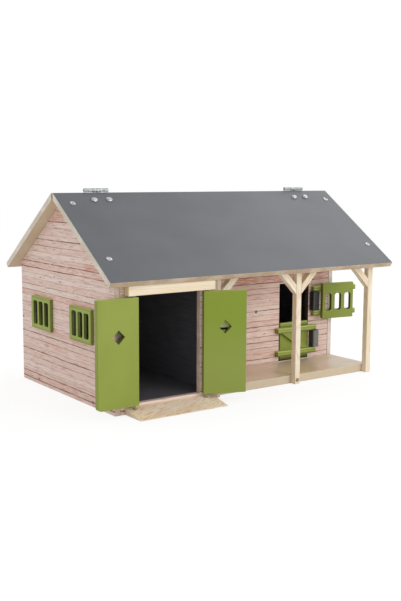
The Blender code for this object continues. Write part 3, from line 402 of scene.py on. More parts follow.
def plank_print(name, along, outward, joints, knots=(), flushes=(), dark_beyond=None,
                dark_holes=(), edge=None):
    """A wall board whose outer face is printed with horizontal planks.

    along is the axis the planks run on and outward the printed face's direction. knots are
    (run, height, length, thickness) and flushes (run from, run to, height from, height to,
    strength), all in house millimetres. Beyond dark_beyond along y, the outer face is inside
    the building and dark with painted shade, as its other face is everywhere. The cut sides of
    dark_holes, (run from, run to, height from, height to), take painted shade too. edge holds
    the middle, dark and light colours of its cut edges.
    """
    s = Shade(name)
    run, height = s.axes[along], s.axes[Z]

    sway = s.noise(s.join(s.times(run, 0.011), s.times(height, 0.02), 0.0), detail=2.0)
    tremble = s.noise(s.join(s.times(run, 0.12), s.times(height, 0.1), 5.0), detail=1.0)
    waved = s.plus(height, s.plus(
        s.math("MULTIPLY_ADD", sway, SWAY_MM, -SWAY_MM / 2.0),
        s.math("MULTIPLY_ADD", tremble, TREMBLE_MM, -TREMBLE_MM / 2.0)))
    level = s.math("FLOORED_MODULO", waved, PRINT_REPEAT_MM)

    every_joint = [j for kind in ("strong", "medium", "faint") for j in joints[kind]]
    board = s.total(s.math("GREATER_THAN", level, j) for j in every_joint)
    board_chance = s.chance(board)

    def along_board(run_per_mm, height_per_mm, seed, **options):
        shifted = s.math("MULTIPLY_ADD", board, BOARD_SHIFT, s.times(run, run_per_mm))
        return s.noise(s.join(shifted, s.times(height, height_per_mm), seed), **options)

    gaps = []
    for kind in ("strong", "medium", "faint"):
        lines = s.largest(s.near(level, j, JOINT_HALF_MM[kind], JOINT_SOFT_MM[kind])
                          for j in joints[kind])
        gaps.append(s.times(lines, JOINT_DARKNESS[kind]))
    worn = s.noise(s.join(s.times(run, 0.05), s.times(height, 0.09), 11.0), detail=3.0)
    gap = s.times(s.largest(gaps), s.rise(worn, 0.34, 0.6, 0.45, 1.0))
    broken = s.noise(s.join(s.times(run, 0.3), s.times(height, 0.25), 13.0), detail=2.0)
    gap = s.times(gap, s.rise(broken, 0.36, 0.56, 0.75, 1.0))

    pinkness = s.plus(s.times(board_chance, 0.55), along_board(0.015, 0.12, 2.0, detail=2.0))
    colour = s.mix(s.rise(pinkness, 0.45, 1.0), PRINT_PALE, PRINT_PINK)
    cream = along_board(0.02, 0.35, 21.0, detail=3.0)
    colour = s.mix(s.rise(cream, 0.52, 0.72, 0.0, 0.7), colour, PRINT_CREAM)

    salmon = along_board(0.022, 0.16, 31.0, detail=3.0)
    streaks = along_board(0.075, 0.75, 35.0, detail=3.0, roughness=0.6)
    flush = s.times(s.rise(salmon, 0.58, 0.74, 0.0, 0.6), s.rise(streaks, 0.36, 0.62, 0.2, 1.0))
    for run_from, run_to, low, high, strength in flushes:
        patch = s.times(s.within(run, run_from, run_to, FLUSH_FADE_MM[0]),
                        s.within(waved, low, high, FLUSH_FADE_MM[1]))
        mottled = s.rise(streaks, 0.36, 0.64, 0.1, 1.0)
        flush = s.math("MAXIMUM", flush, s.times(s.times(patch, mottled), strength))
    colour = s.mix(flush, colour, PRINT_SALMON)

    dashes = s.rise(along_board(0.055, 1.05, 41.0, detail=2.0, roughness=0.6),
                    0.54, 0.7, 0.0, 0.7)
    fine = s.rise(along_board(0.09, 2.6, 51.0, detail=2.0), 0.42, 0.72, 0.0, 0.4)
    colour = s.mix(fine, colour, PRINT_SALMON)
    colour = s.mix(dashes, colour, PRINT_BROWN)
    colour = s.mix(gap, colour, PRINT_JOINT)

    marks = [s.rise(along_board(0.075, 0.55, 61.0, detail=1.0), 0.745, 0.8)]
    for knot_run, knot_height, length, thickness in knots:
        away = s.join(s.times(s.math("SUBTRACT", run, knot_run), 1.0 / length),
                      s.times(s.math("SUBTRACT", height, knot_height), 1.0 / thickness), 0.0)
        far = s.add("ShaderNodeVectorMath", operation="LENGTH")
        s.put(far.inputs[0], away)
        marks.append(s.rise(far.outputs["Value"], 0.62, 0.28))
    knotted = s.largest(marks)
    colour = s.mix(s.times(knotted, 0.85), colour, PRINT_JOINT)

    face = s.dot(s.normal, outward)
    least, fully = PRINT_FACING
    printed = s.rise(face, least, fully)
    inside = s.rise(face, -least, -fully)
    # Painted shade on the outer face where it runs on inside the building.
    if dark_beyond is not None:
        deep = s.rise(s.axes[Y], dark_beyond - INSIDE_SHADE_SOFT_MM, dark_beyond + INSIDE_SHADE_SOFT_MM)
        inside = s.math("MAXIMUM", inside, s.times(printed, deep))
    board_colour, fibre = raw_board(s, edge or (WALL_EDGE, WALL_EDGE_DARK, WALL_EDGE_LIGHT))
    # Painted shade on the cut sides of the openings.
    for run_from, run_to, low, high in dark_holes:
        hole = s.times(s.within(run, run_from, run_to, HOLE_SOFT_MM),
                       s.within(height, low, high, HOLE_SOFT_MM))
        board_colour = s.mix(hole, board_colour, REVEAL_SHADE)
    # Painted shade: faces inside the building are near-black.
    inner_grain = s.noise(s.join(s.times(run, 0.03), s.times(height, 0.9), 71.0), detail=4.0)
    dark = s.mix(s.rise(inner_grain, 0.4, 0.7), INNER_SHADE, INNER_SHADE_GRAIN)
    whole = s.mix(printed, board_colour, colour)
    whole = s.mix(inside, whole, dark)

    relief = s.plus(s.times(s.times(gap, printed), -0.6), s.times(fibre, 0.25))
    roughness = s.rise(s.plus(worn, s.times(gap, 0.3)), 0.2, 0.9, 0.5, 0.72)
    return s.finish(whole, roughness, relief, bump_mm=0.12, specular=0.35)


# Bare and painted wood

PINE_PALE, PINE_WARM, PINE_RING = rgb("f7eddb"), rgb("f0e0c4"), rgb("dcbd90")
PINE_END = rgb("d8bc92")
PINE_RING_WIDTH = 0.32
# Changes per millimetre along the grain, growth rings between two of them, and how bent.
WANDERING_GRAIN, STRAIGHT_GRAIN = (0.007, 16.0, 0.3), (0.0012, 24.0, 0.1)


def pine(name, along=X, lean=0.0, straight=False):
    """Bare planed pine with its grain along an axis, or leaning from z towards x by lean.

    straight grain runs in fine even lines, and otherwise it wanders.
    """
    s = Shade(name)
    x, y, z = s.axes
    if lean:
        length = s.plus(s.times(x, math.sin(lean)), s.times(z, math.cos(lean)))
        across = s.plus(s.times(x, math.cos(lean)), s.times(z, -math.sin(lean)))
        depth = y
        end_direction = (math.sin(lean), 0.0, math.cos(lean))
    else:
        length = s.axes[along]
        across, depth = [s.axes[a] for a in (X, Y, Z) if a != along]
        end_direction = tuple(1.0 if a == along else 0.0 for a in (X, Y, Z))

    drift, turns, bend = STRAIGHT_GRAIN if straight else WANDERING_GRAIN
    field = s.noise(s.join(s.times(length, drift), s.times(across, 0.055),
                           s.times(depth, 0.055)), detail=1.5, distortion=bend)
    ring = s.rings(field, turns, PINE_RING_WIDTH)
    strands = s.noise(s.join(s.times(length, 0.02), s.times(across, 1.1),
                             s.times(depth, 1.1)), detail=3.0, roughness=0.6)
    cloud = s.noise(s.join(s.times(length, 0.012), s.times(across, 0.05),
                           s.times(depth, 0.05)), detail=2.0)
    colour = s.mix(s.rise(cloud, 0.35, 0.65), PINE_PALE, PINE_WARM)
    colour = s.mix(s.times(ring, s.rise(strands, 0.3, 0.65, 0.15, 0.7)), colour, PINE_RING)
    colour = s.mix(s.rise(strands, 0.56, 0.78, 0.0, 0.3), colour, PINE_RING)
    end = s.rise(s.math("ABSOLUTE", s.dot(s.normal, end_direction)), 0.6, 0.8)
    colour = s.mix(s.times(end, 0.6), colour, PINE_END)
    relief = s.plus(s.times(strands, 0.5), s.times(ring, -0.25))
    roughness = s.rise(strands, 0.3, 0.7, 0.5, 0.66)
    return s.finish(colour, roughness, relief, bump_mm=0.08, specular=0.35)


OAK_PALE, OAK_WARM, OAK_STREAK, OAK_ORANGE = (
    rgb("fbead2"), rgb("f3dcbc"), rgb("c9a07c"), rgb("e0b088"))
RAMP_GRAIN_LEAN = math.radians(24.0)
RAMP_RINGS, RAMP_RING_WIDTH = 14.0, 0.3


def ramp_wood(name, lean=RAMP_GRAIN_LEAN):
    """Bare wood with open straight grain that crosses the ramp at a slant."""
    s = Shade(name)
    x, y, z = s.axes
    length = s.plus(s.times(x, math.cos(lean)), s.times(y, math.sin(lean)))
    across = s.plus(s.times(x, -math.sin(lean)), s.times(y, math.cos(lean)))
    field = s.noise(s.join(s.times(length, 0.008), s.times(across, 0.07), s.times(z, 0.05)),
                    detail=2.0, distortion=0.4)
    ring = s.rings(field, RAMP_RINGS, RAMP_RING_WIDTH)
    pores = s.noise(s.join(s.times(length, 0.035), s.times(across, 0.85), s.times(z, 0.8)),
                    detail=3.0, roughness=0.65)
    cloud = s.noise(s.join(s.times(length, 0.02), s.times(across, 0.07), 3.0), detail=2.0)
    colour = s.mix(s.rise(cloud, 0.35, 0.65), OAK_PALE, OAK_WARM)
    colour = s.mix(s.times(ring, s.rise(pores, 0.35, 0.65, 0.2, 0.75)), colour, OAK_ORANGE)
    colour = s.mix(s.rise(pores, 0.54, 0.72, 0.0, 0.75), colour, OAK_STREAK)
    relief = s.plus(s.times(pores, -0.6), s.times(ring, -0.2))
    return s.finish(colour, s.rise(pores, 0.3, 0.7, 0.5, 0.7), relief, bump_mm=0.1,
                    specular=0.35)


FLOOR_TAN, FLOOR_WARM, FLOOR_EDGE = rgb("e9d7c0"), rgb("dfc7a8"), rgb("d9c8ad")


def floor_board(name, inner=False):
    """The porch's smooth board, varnished on top, or the boards inside, darkened with painted
    shade.
    """
    s = Shade(name)
    fibre = s.noise(s.stretched(0.05, 0.7, 0.7), detail=4.0, roughness=0.6)
    cloud = s.noise(s.stretched(0.012, 0.03, 0.03), detail=2.0)
    if inner:
        colour = s.mix(s.rise(fibre, 0.4, 0.7), INNER_SHADE, INNER_SHADE_GRAIN)
        return s.finish(colour, s.rise(fibre, 0.3, 0.7, 0.5, 0.7), fibre, bump_mm=0.06)
    top = s.rise(s.facing[Z], 0.6, 0.8)
    colour = s.mix(s.rise(cloud, 0.35, 0.65), FLOOR_TAN, FLOOR_WARM)
    colour = s.mix(s.rise(fibre, 0.5, 0.75, 0.0, 0.3), colour, RAW_BOARD)
    board_colour, raw_fibre = raw_board(s)
    side = s.mix(s.rise(raw_fibre, 0.35, 0.7, 0.0, 0.5), FLOOR_EDGE, board_colour)
    colour = s.mix(top, side, colour)
    roughness = s.rise(s.plus(top, s.times(fibre, 0.2)), 0.0, 1.2, 0.72, 0.24)
    return s.finish(colour, roughness, s.times(fibre, 0.3), bump_mm=0.03)


ROOF_GREY, ROOF_GREY_LIGHT, ROOF_LINE = rgb("5d6064"), rgb("63666b"), rgb("4b4e53")
UNDER_ROOF, UNDER_ROOF_WARM = rgb("dfcfb5"), rgb("d5c1a1")
RAKE_EDGE, RAKE_EDGE_DARK, RAKE_EDGE_LIGHT = rgb("e9dfce"), rgb("c4baa9"), rgb("f3ecdf")


def roof_board(name, slope_normal):
    """A board painted smooth grey on its outer face, bare on its edges and underneath."""
    s = Shade(name)
    cloud = s.noise(s.stretched(0.014, 0.02, 0.02), detail=3.0)
    speckle = s.noise(s.stretched(1.3, 1.3, 1.3), detail=2.0, roughness=0.7)
    brushed = s.noise(s.stretched(0.03, 0.5, 0.5), detail=3.0)
    colour = s.mix(s.rise(cloud, 0.3, 0.72), ROOF_GREY, ROOF_GREY_LIGHT)
    colour = s.mix(s.rise(speckle, 0.45, 0.75, 0.0, 0.22), colour, ROOF_LINE)
    colour = s.mix(s.rise(brushed, 0.5, 0.75, 0.0, 0.14), colour, ROOF_GREY_LIGHT)
    face = s.dot(s.normal, slope_normal)
    painted = s.rise(face, 0.8, 0.9)
    rake = s.rise(s.math("ABSOLUTE", s.facing[X]), 0.5, 0.8)
    board_colour, fibre = raw_board(s)
    pale_colour = raw_board(s, (RAKE_EDGE, RAKE_EDGE_DARK, RAKE_EDGE_LIGHT))[0]
    board_colour = s.mix(rake, board_colour, pale_colour)
    under = s.rise(face, -0.6, -0.8)
    below = s.mix(s.rise(cloud, 0.3, 0.7), UNDER_ROOF, UNDER_ROOF_WARM)
    bare = s.mix(under, board_colour, s.mix(s.rise(fibre, 0.4, 0.7, 0.0, 0.35),
                                            below, RAW_BOARD_DARK))
    whole = s.mix(painted, bare, colour)
    relief = s.plus(s.times(speckle, 0.4), s.times(fibre, 0.2))
    roughness = s.rise(s.plus(painted, s.times(cloud, 0.3)), 0.0, 1.3, 0.75, 0.42)
    return s.finish(whole, roughness, relief, bump_mm=0.05, specular=0.4)


# GREEN_RIM is a painted highlight on rounded edges, and the paler colour of the bars between
# slots.
GREEN, GREEN_DEEP, GREEN_RIM = rgb("919e3e"), rgb("889636"), rgb("b0c060")
# Painted shade: the sides of slots and openings, undersides and shaded strips.
GREEN_SHADE, GREEN_SHADE_DEEP = rgb("566021"), rgb("3c4614")
# GREEN_LIT is a painted highlight on upward faces and lit strips.
GREEN_VIVID, GREEN_LOW, GREEN_LIT = rgb("788a08"), rgb("84913a"), rgb("c6d27c")
# Painted shade: GREEN_SIDE on faces that point the shaded way and, with GREEN_SILL, on the sides
# of openings.
GREEN_SIDE, GREEN_SILL = rgb("6d7429"), rgb("7d8836")
# The crossbar behind the diamond: its green is paler than the doors', painted light so it shows
# lit in the hole's shade, and its groove is near-black painted shade.
GREEN_BAR_LIT, GREEN_GROOVE_SHADE = rgb("c4ce86"), rgb("12140a")
# GREEN_UPPER_SHADED is a darker copy of the door green: painted shade on the upper door under
# the porch roof.
GREEN_BATTEN, GREEN_UPPER_SHADED = rgb("9aa44a"), rgb("8a9738")
SLOT_SOFT_MM, GROOVE_SOFT_MM, BAND_SOFT_MM = 0.3, 0.2, 0.6


def green_paint(name, slots=None, slot_colours=None, bars=0.0, base=GREEN, lower=None,
                groove=None, shaded=None, light_shade_bands=(), side_shade=None):
    """Semi-matt green paint on board: faint roller texture, with a painted highlight where edges
    are rounded and on upward faces, and painted shade on downward faces.

    slots is (axis, low, high, foot, head): between these the sides of openings, which face
    along that axis or up and down, take slot_colours, a painted shade, and bars is how much
    paler the wood between them is. base is the main colour. lower is (colour, foot, head): the
    paint turns to that colour from head down to foot. groove is (foot, head): near-black
    painted shade between these. shaded is a direction: faces that point there take painted
    shade, a deeper olive. light_shade_bands are (foot, head, colour, strength): strips of
    painted highlight and painted shade along the wood. side_shade is (from, to): painted
    shade that darkens the paint towards the first along x.
    """
    s = Shade(name)
    cloud = s.noise(s.stretched(0.02, 0.02, 0.015), detail=2.0)
    roller = s.noise(s.stretched(0.9, 0.9, 0.9), detail=3.0, roughness=0.6)
    height = s.axes[Z]
    if lower:
        base = s.mix(s.rise(height, lower[2], lower[1]), base, lower[0])
    colour = s.mix(s.rise(cloud, 0.35, 0.68, 0.0, 0.25 if lower else 0.8), base, GREEN_DEEP)
    colour = s.mix(s.rise(roller, 0.5, 0.8, 0.0, 0.18), colour, GREEN_DEEP)
    # A painted highlight where edges are rounded.
    squares = s.largest(s.math("ABSOLUTE", n) for n in s.facing)
    rounded = s.rise(squares, 0.97, 0.86)
    colour = s.mix(s.times(rounded, 0.6), colour, GREEN_RIM)
    # A painted highlight on upward faces and painted shade on downward ones.
    colour = s.mix(s.rise(s.facing[Z], 0.3, 0.8, 0.0, 0.6), colour, GREEN_LIT)
    colour = s.mix(s.rise(s.facing[Z], -0.3, -0.8, 0.0, 0.5), colour, GREEN_SHADE)
    # Painted shade on faces that point the shaded way.
    if shaded:
        colour = s.mix(s.rise(s.dot(s.normal, shaded), 0.6, 0.9, 0.0, 0.7), colour, GREEN_SIDE)
    # Painted shade on the sides of openings; the bars between them are paler.
    if slots:
        axis, low, high, foot, head = slots
        hollow = s.times(s.within(s.axes[axis], low, high, SLOT_SOFT_MM),
                         s.within(height, foot, head, SLOT_SOFT_MM))
        side = s.rise(s.plus(s.math("ABSOLUTE", s.facing[axis]),
                             s.math("ABSOLUTE", s.facing[Z])), 0.75, 0.95)
        deep = s.mix(s.rise(cloud, 0.35, 0.65), *slot_colours)
        colour = s.mix(s.times(hollow, bars), colour, GREEN_RIM)
        colour = s.mix(s.times(hollow, side), colour, deep)
    # Painted shade: the groove is near-black.
    if groove:
        colour = s.mix(s.within(height, *groove, GROOVE_SOFT_MM), colour, GREEN_GROOVE_SHADE)
    # Strips of painted highlight and painted shade along the wood.
    for foot, head, band_colour, strength in light_shade_bands:
        band = s.times(s.within(height, foot, head, BAND_SOFT_MM),
                       s.rise(cloud, 0.2, 0.6, 0.75, 1.0))
        colour = s.mix(s.times(band, strength), colour, band_colour)
    # Painted shade darkening the panel towards one side.
    if side_shade:
        colour = s.mix(s.rise(s.axes[X], side_shade[1], side_shade[0], 0.0, 0.85),
                       colour, GREEN_SHADE_DEEP)
    roughness = s.rise(roller, 0.3, 0.7, 0.42, 0.54)
    return s.finish(colour, roughness, roller, bump_mm=0.05, specular=0.4)


# DARK_GREY_PALE is a faint mottle, and a painted highlight on rounded edges.
DARK_GREY, DARK_GREY_PALE = rgb("343436"), rgb("6a6a6c")
# Painted light and shade on the blocks' outer faces: paler on the lower block, near-black on the
# upper.
HINGE_FRONT_LIT, HINGE_FRONT_SHADED = rgb("7a7874"), rgb("100f0e")


def dark_plastic(name, front):
    """A satin dark grey hinge block, paler on rounded edges as a painted highlight. front is the
    colour of its outer face: painted light on the lower block, painted shade on the upper.
    """
    s = Shade(name)
    grain = s.noise(s.stretched(1.5, 1.5, 1.5), detail=3.0)
    squares = s.largest(s.math("ABSOLUTE", n) for n in s.facing)
    rounded = s.rise(squares, 0.97, 0.8)
    ahead = s.rise(s.math("ABSOLUTE", s.facing[Y]), 0.6, 0.9)
    # The outer face's colour is painted light on the lower block and painted shade on the upper.
    colour = s.mix(ahead, DARK_GREY, front)
    # A painted highlight on rounded edges, with a faint mottle.
    colour = s.mix(s.plus(s.times(rounded, 0.5), s.rise(grain, 0.45, 0.8, 0.0, 0.2)),
                   colour, DARK_GREY_PALE)
    return s.finish(colour, s.rise(grain, 0.3, 0.7, 0.3, 0.4), grain, bump_mm=0.03)


SCREW_TAN, SCREW_TAN_STAIN = rgb("c0a88c"), rgb("93806c")
SCREW_BROWN, SCREW_BROWN_STAIN = rgb("7d5a4a"), rgb("55392e")
SCREW_DARK, SCREW_DARK_STAIN = rgb("4e423b"), rgb("2f2824")
# Painted shade in the screws' cross recesses.
RECESS_SHADE, RECESS_SHADE_DEEP = rgb("4a4744"), rgb("2c2a28")
PIN_TAN, PIN_STAIN = rgb("b8aa88"), rgb("8d8168")
ZINC, ZINC_DULL = rgb("dcd9da"), rgb("a6a4a6")
LEAF_ZINC, LEAF_ZINC_DULL = rgb("c6cac9"), rgb("9da1a2")


def zinc(name, colour=ZINC, dull=ZINC_DULL, metallic=0.9):
    """Bright zinc-plated steel with a faint crystalline mottle and fine scratches."""
    s = Shade(name)
    mottle = s.noise(s.stretched(0.5, 0.5, 0.5), detail=2.0)
    scratches = s.noise(s.stretched(0.15, 3.0, 3.0), detail=2.0)
    colour = s.mix(s.rise(mottle, 0.35, 0.7), colour, dull)
    roughness = s.rise(s.plus(mottle, s.times(scratches, 0.4)), 0.4, 1.0, 0.26, 0.46)
    return s.finish(colour, roughness, s.times(scratches, 0.5), bump_mm=0.03,
                    metallic=metallic)


def plain_metal(name, colour, darker):
    """Dull screw or pin metal, darker where it is stained."""
    s = Shade(name)
    stain = s.noise(s.stretched(1.2, 1.2, 1.2), detail=3.0)
    whole = s.mix(s.rise(stain, 0.35, 0.65), colour, darker)
    return s.finish(whole, s.rise(stain, 0.3, 0.7, 0.4, 0.6), stain, bump_mm=0.02,
                    metallic=0.5)


# Dressing the CAD parts

ROOF_PITCH = math.radians(34.8)
EDGE_ROUND_MM = {"walls": 0.35, "wood": 0.5, "paint": 0.5, "battens": 1.5, "metal": 0.2,
                 "roof": 0.4}
EDGE_SEGMENTS, SHARP_ANGLE = 2, math.radians(32.0)
WELD_MM = 0.01


def dress(names, material, kind):
    """Give nodes a material and softly rounded edges."""
    for name in names:
        node = nodes[name]
        node.data.materials.clear()
        node.data.materials.append(material)
        for polygon in node.data.polygons:
            polygon.material_index = 0
        weld = node.modifiers.new("weld", "WELD")
        weld.merge_threshold = WELD_MM / MM
        bevel = node.modifiers.new("round", "BEVEL")
        bevel.width = EDGE_ROUND_MM[kind] / MM
        bevel.segments = EDGE_SEGMENTS
        bevel.limit_method = "ANGLE"
        bevel.angle_limit = SHARP_ANGLE
        bevel.use_clamp_overlap = True
        normals = node.modifiers.new("normals", "WEIGHTED_NORMAL")
        normals.keep_sharp = False


# Knots and salmon flushes of the print, as plank_print takes them.
GABLE_KNOTS = ((150.2, 138.5, 3.0, 1.3), (81.8, 111.0, 2.6, 1.2), (157.7, 118.5, 2.6, 1.1),
               (124.3, 121.8, 3.0, 1.2), (124.0, 26.0, 2.6, 1.2), (147.7, 15.0, 2.6, 1.2),
               (117.7, 55.2, 4.0, 1.1), (124.3, 150.2, 2.4, 1.1), (161.8, 156.0, 2.2, 1.1))
GABLE_FLUSHES = ((-5.0, 210.0, 127.9, 134.0, 0.6), (-5.0, 210.0, 4.6, 10.4, 0.6),
                 (104.0, 124.0, 181.0, 196.0, 0.85), (31.0, 53.0, 134.5, 141.0, 0.9),
                 (-5.0, 210.0, 97.5, 102.5, 0.5), (103.0, 143.0, 44.0, 50.0, 0.6),
                 (60.0, 140.0, 59.5, 66.0, 0.6))
STALL_KNOTS = ((252.0, 84.0, 2.4, 1.1), (289.0, 108.0, 3.0, 1.2), (244.0, 45.0, 2.6, 1.2))
# The first flush, along the top of the stall wall, is salmon print deepened with painted shade
# under the eaves.
STALL_FLUSHES = ((120.0, 350.0, 104.6, 124.0, 1.1), (120.0, 350.0, 54.0, 60.0, 0.4),
                 (120.0, 350.0, 92.0, 98.0, 0.3))
FRAME_RIM_MM = 2.0             # inside this much of a window frame's edge lie its slots
UPPER_RIM_MM = 3.0
WINDOW_BAR_PALENESS = 0.5
DIAMOND_Z_MM, DIAMOND_REACH_MM = 77.7, 7.0
GROOVE_Z_MM, GROOVE_HALF_MM = 74.7, 1.2
LOW_PAINT_MM = (30.0, 95.0)    # the right door turns to its lower colour between these
# Painted shade on the sides of the stall opening.
STALL_JAMB_MM = 2.0            # how far the stall opening's dark sides reach past the door
STALL_HOLE_TOP_MM = 103.5

# Strips of painted highlight and painted shade along the stall's lower door: foot, head,
# colour and strength, over the underside of a batten and over the panel's top, its upper
# batten and its foot.
BATTEN_LIGHT_SHADE_MM = ((5.1, 6.5, GREEN_LIT, 0.8), (1.9, 2.4, GREEN_LIT, 0.25),
                   (-1.0, 0.9, GREEN_SHADE, 0.7))
PANEL_TOP_HIGHLIGHT_MM = (-1.2, 1.0, GREEN_LIT, 0.55)
PANEL_SEAM_SHADE_MM = (0.0, 1.0, GREEN_SHADE, 0.6)
PANEL_FOOT_SHADE_MM = (-1.0, 2.0, GREEN_SHADE_DEEP, 0.7)
PANEL_SIDE_SHADE_MM = (0.9, 2.0)


def raised(band, level):
    """A strip whose foot and head are measured from a level."""
    foot, head, colour, strength = band
    return (level + foot, level + head, colour, strength)


def dress_all():
    """Give each of the CAD parts its material."""
    stall_front = house_box("stall_front_wall")[0].y
    window_holes = []
    for frame_name in ("front_window_frame", "rear_window_frame"):
        low, high = house_box(frame_name)
        window_holes.append((low.y, high.y, low.z, high.z))
    panel_low, panel_high = house_box("lower_door_panel")
    stall_hole = (panel_low.x - STALL_JAMB_MM, panel_high.x + STALL_JAMB_MM,
                  panel_low.z - STALL_JAMB_MM, STALL_HOLE_TOP_MM)
    dress(["left_gable_wall"],
          plank_print("print_left_gable", Y, (-1.0, 0.0, 0.0), GABLE_JOINTS_MM,
                      GABLE_KNOTS, GABLE_FLUSHES, dark_holes=window_holes), "walls")
    dress(["right_gable_wall"],
          plank_print("print_right_gable", Y, (1.0, 0.0, 0.0), GABLE_JOINTS_MM,
                      (), GABLE_FLUSHES[:3], edge=LIT_EDGE), "walls")
    dress(["back_wall"],
          plank_print("print_back", X, (0.0, 1.0, 0.0), GABLE_JOINTS_MM,
                      (), GABLE_FLUSHES[:2]), "walls")
    dress(["garage_front_wall"],
          plank_print("print_garage_front", X, (0.0, -1.0, 0.0), GABLE_JOINTS_MM), "walls")
    dress(["garage_side_wall"],
          plank_print("print_garage_side", Y, (1.0, 0.0, 0.0), STALL_JOINTS_MM,
                      dark_beyond=stall_front), "walls")
    dress(["stall_front_wall"],
          plank_print("print_stall", X, (0.0, -1.0, 0.0), STALL_JOINTS_MM,
                      STALL_KNOTS, STALL_FLUSHES, dark_holes=[stall_hole]), "walls")
    dress(["inner_floor", "stall_divider"], floor_board("inner_board", inner=True), "walls")
    dress(["porch_floor"], floor_board("porch_board"), "wood")
    front = (0.0, -math.sin(ROOF_PITCH), math.cos(ROOF_PITCH))
    back = (0.0, math.sin(ROOF_PITCH), math.cos(ROOF_PITCH))
    dress(["front_roof_panel"], roof_board("roof_front", front), "roof")
    dress(["back_roof_panel"], roof_board("roof_back", back), "roof")
    dress(["lintel_beam", "porch_beam"], pine("pine_lengthways", X, straight=True), "wood")
    dress(["left_post", "middle_post", "right_post"], pine("pine_upright", Z), "wood")
    dress(["middle_post_brace_left"], pine("pine_lean_left", lean=-math.pi / 4), "wood")
    dress(["left_post_brace", "middle_post_brace_right"],
          pine("pine_lean_right", lean=math.pi / 4), "wood")
    dress(["right_post_brace"], pine("pine_lean_left_end", lean=-math.pi / 4), "wood")
    dress(["garage_ramp"], ramp_wood("ramp_wood"), "wood")
    dress(["lower_door_brace"], green_paint("green_brace"), "paint")
    batten_top = house_box("lower_door_top_batten")[1].z
    dress(["lower_door_panel"],
          green_paint("green_lower_door",
                      light_shade_bands=(raised(PANEL_TOP_HIGHLIGHT_MM, panel_high.z),
                             raised(PANEL_SEAM_SHADE_MM, batten_top),
                             raised(PANEL_FOOT_SHADE_MM, panel_low.z)),
                      side_shade=[panel_low.x + x for x in PANEL_SIDE_SHADE_MM]), "paint")
    for name in [n for n in nodes if n.endswith("_batten")]:
        underside = house_box(name)[0].z
        dress([name],
              green_paint("green_" + name, base=GREEN_BATTEN,
                          light_shade_bands=[raised(band, underside) for band in BATTEN_LIGHT_SHADE_MM],
                          shaded=(-1.0, 0.0, 0.0)), "battens")

    def diamond(door):
        low, high = house_box(door)
        middle = (low.x + high.x) / 2.0
        return (X, middle - DIAMOND_REACH_MM, middle + DIAMOND_REACH_MM,
                DIAMOND_Z_MM - DIAMOND_REACH_MM, DIAMOND_Z_MM + DIAMOND_REACH_MM)

    def rimmed(name, axis, rim):
        low, high = house_box(name)
        return (axis, low[axis] + rim, high[axis] - rim, low.z + rim, high.z - rim)

    dress(["garage_door_left"],
          green_paint("green_left_door", diamond("garage_door_left"),
                      (GREEN_SHADE, GREEN_SHADE_DEEP)), "paint")
    dress(["garage_door_right"],
          green_paint("green_right_door", diamond("garage_door_right"),
                      (GREEN_SIDE, GREEN_SILL), base=GREEN_VIVID,
                      lower=(GREEN_LOW, *LOW_PAINT_MM)), "paint")
    dress(["garage_door_crossbar"],
          green_paint("green_crossbar", base=GREEN_BAR_LIT,
                      groove=(GROOVE_Z_MM - GROOVE_HALF_MM,
                              GROOVE_Z_MM + GROOVE_HALF_MM)), "paint")
    for name in ("front_window_frame", "rear_window_frame"):
        dress([name], green_paint("green_" + name, rimmed(name, Y, FRAME_RIM_MM),
                                  (GREEN_SILL, GREEN_SHADE), bars=WINDOW_BAR_PALENESS,
                                  shaded=(0.0, -1.0, 0.0)), "paint")
    dress(["upper_door_panel"],
          green_paint("green_upper_door", rimmed("upper_door_panel", X, UPPER_RIM_MM),
                      (GREEN_SHADE, GREEN_SHADE_DEEP), base=GREEN_UPPER_SHADED,
                      shaded=(-1.0, 0.0, 0.0)), "paint")
    dress(["lower_hinge_block"], dark_plastic("hinge_grey_low", HINGE_FRONT_LIT), "paint")
    dress(["upper_hinge_block"], dark_plastic("hinge_grey_high", HINGE_FRONT_SHADED), "paint")
    dress([n for n in nodes if "bolt" in n or "screw" in n], zinc("zinc_plated"), "metal")
    dress([n for n in nodes if "roof_hinge" in n],
          zinc("zinc_leaf", LEAF_ZINC, LEAF_ZINC_DULL, metallic=0.45), "metal")
    dress([n for n in nodes if n.endswith("_pin") and "roof" not in n],
          plain_metal("door_pin", PIN_TAN, PIN_STAIN), "metal")


# Screws

CROSS_ANGLES = 32              # vertices around a screw head
HEAD_RINGS = (0.12, 0.26, 0.4, 0.52, 0.62, 0.8, 0.93, 1.0)   # shares of its radius
CROSS_REACH = 0.55             # how far out the recess runs, as a share of the radius
CROSS_HALF_SHARE = 0.13
CROSS_DEPTH_SHARE = 0.8        # of the head's height
DOME_SHARE, DOME_POWER = 0.55, 2.4     # how far the head's rim lies below its crown, and how
SUNK_SHARE = 0.5               # faces this deep in the head are in the recess
STRAIGHT_SHANK_SHARE, TIP_SHARE = 0.8, 0.2
CROWN_MM = 0.02                # points this near the highest are the crown of a CAD head


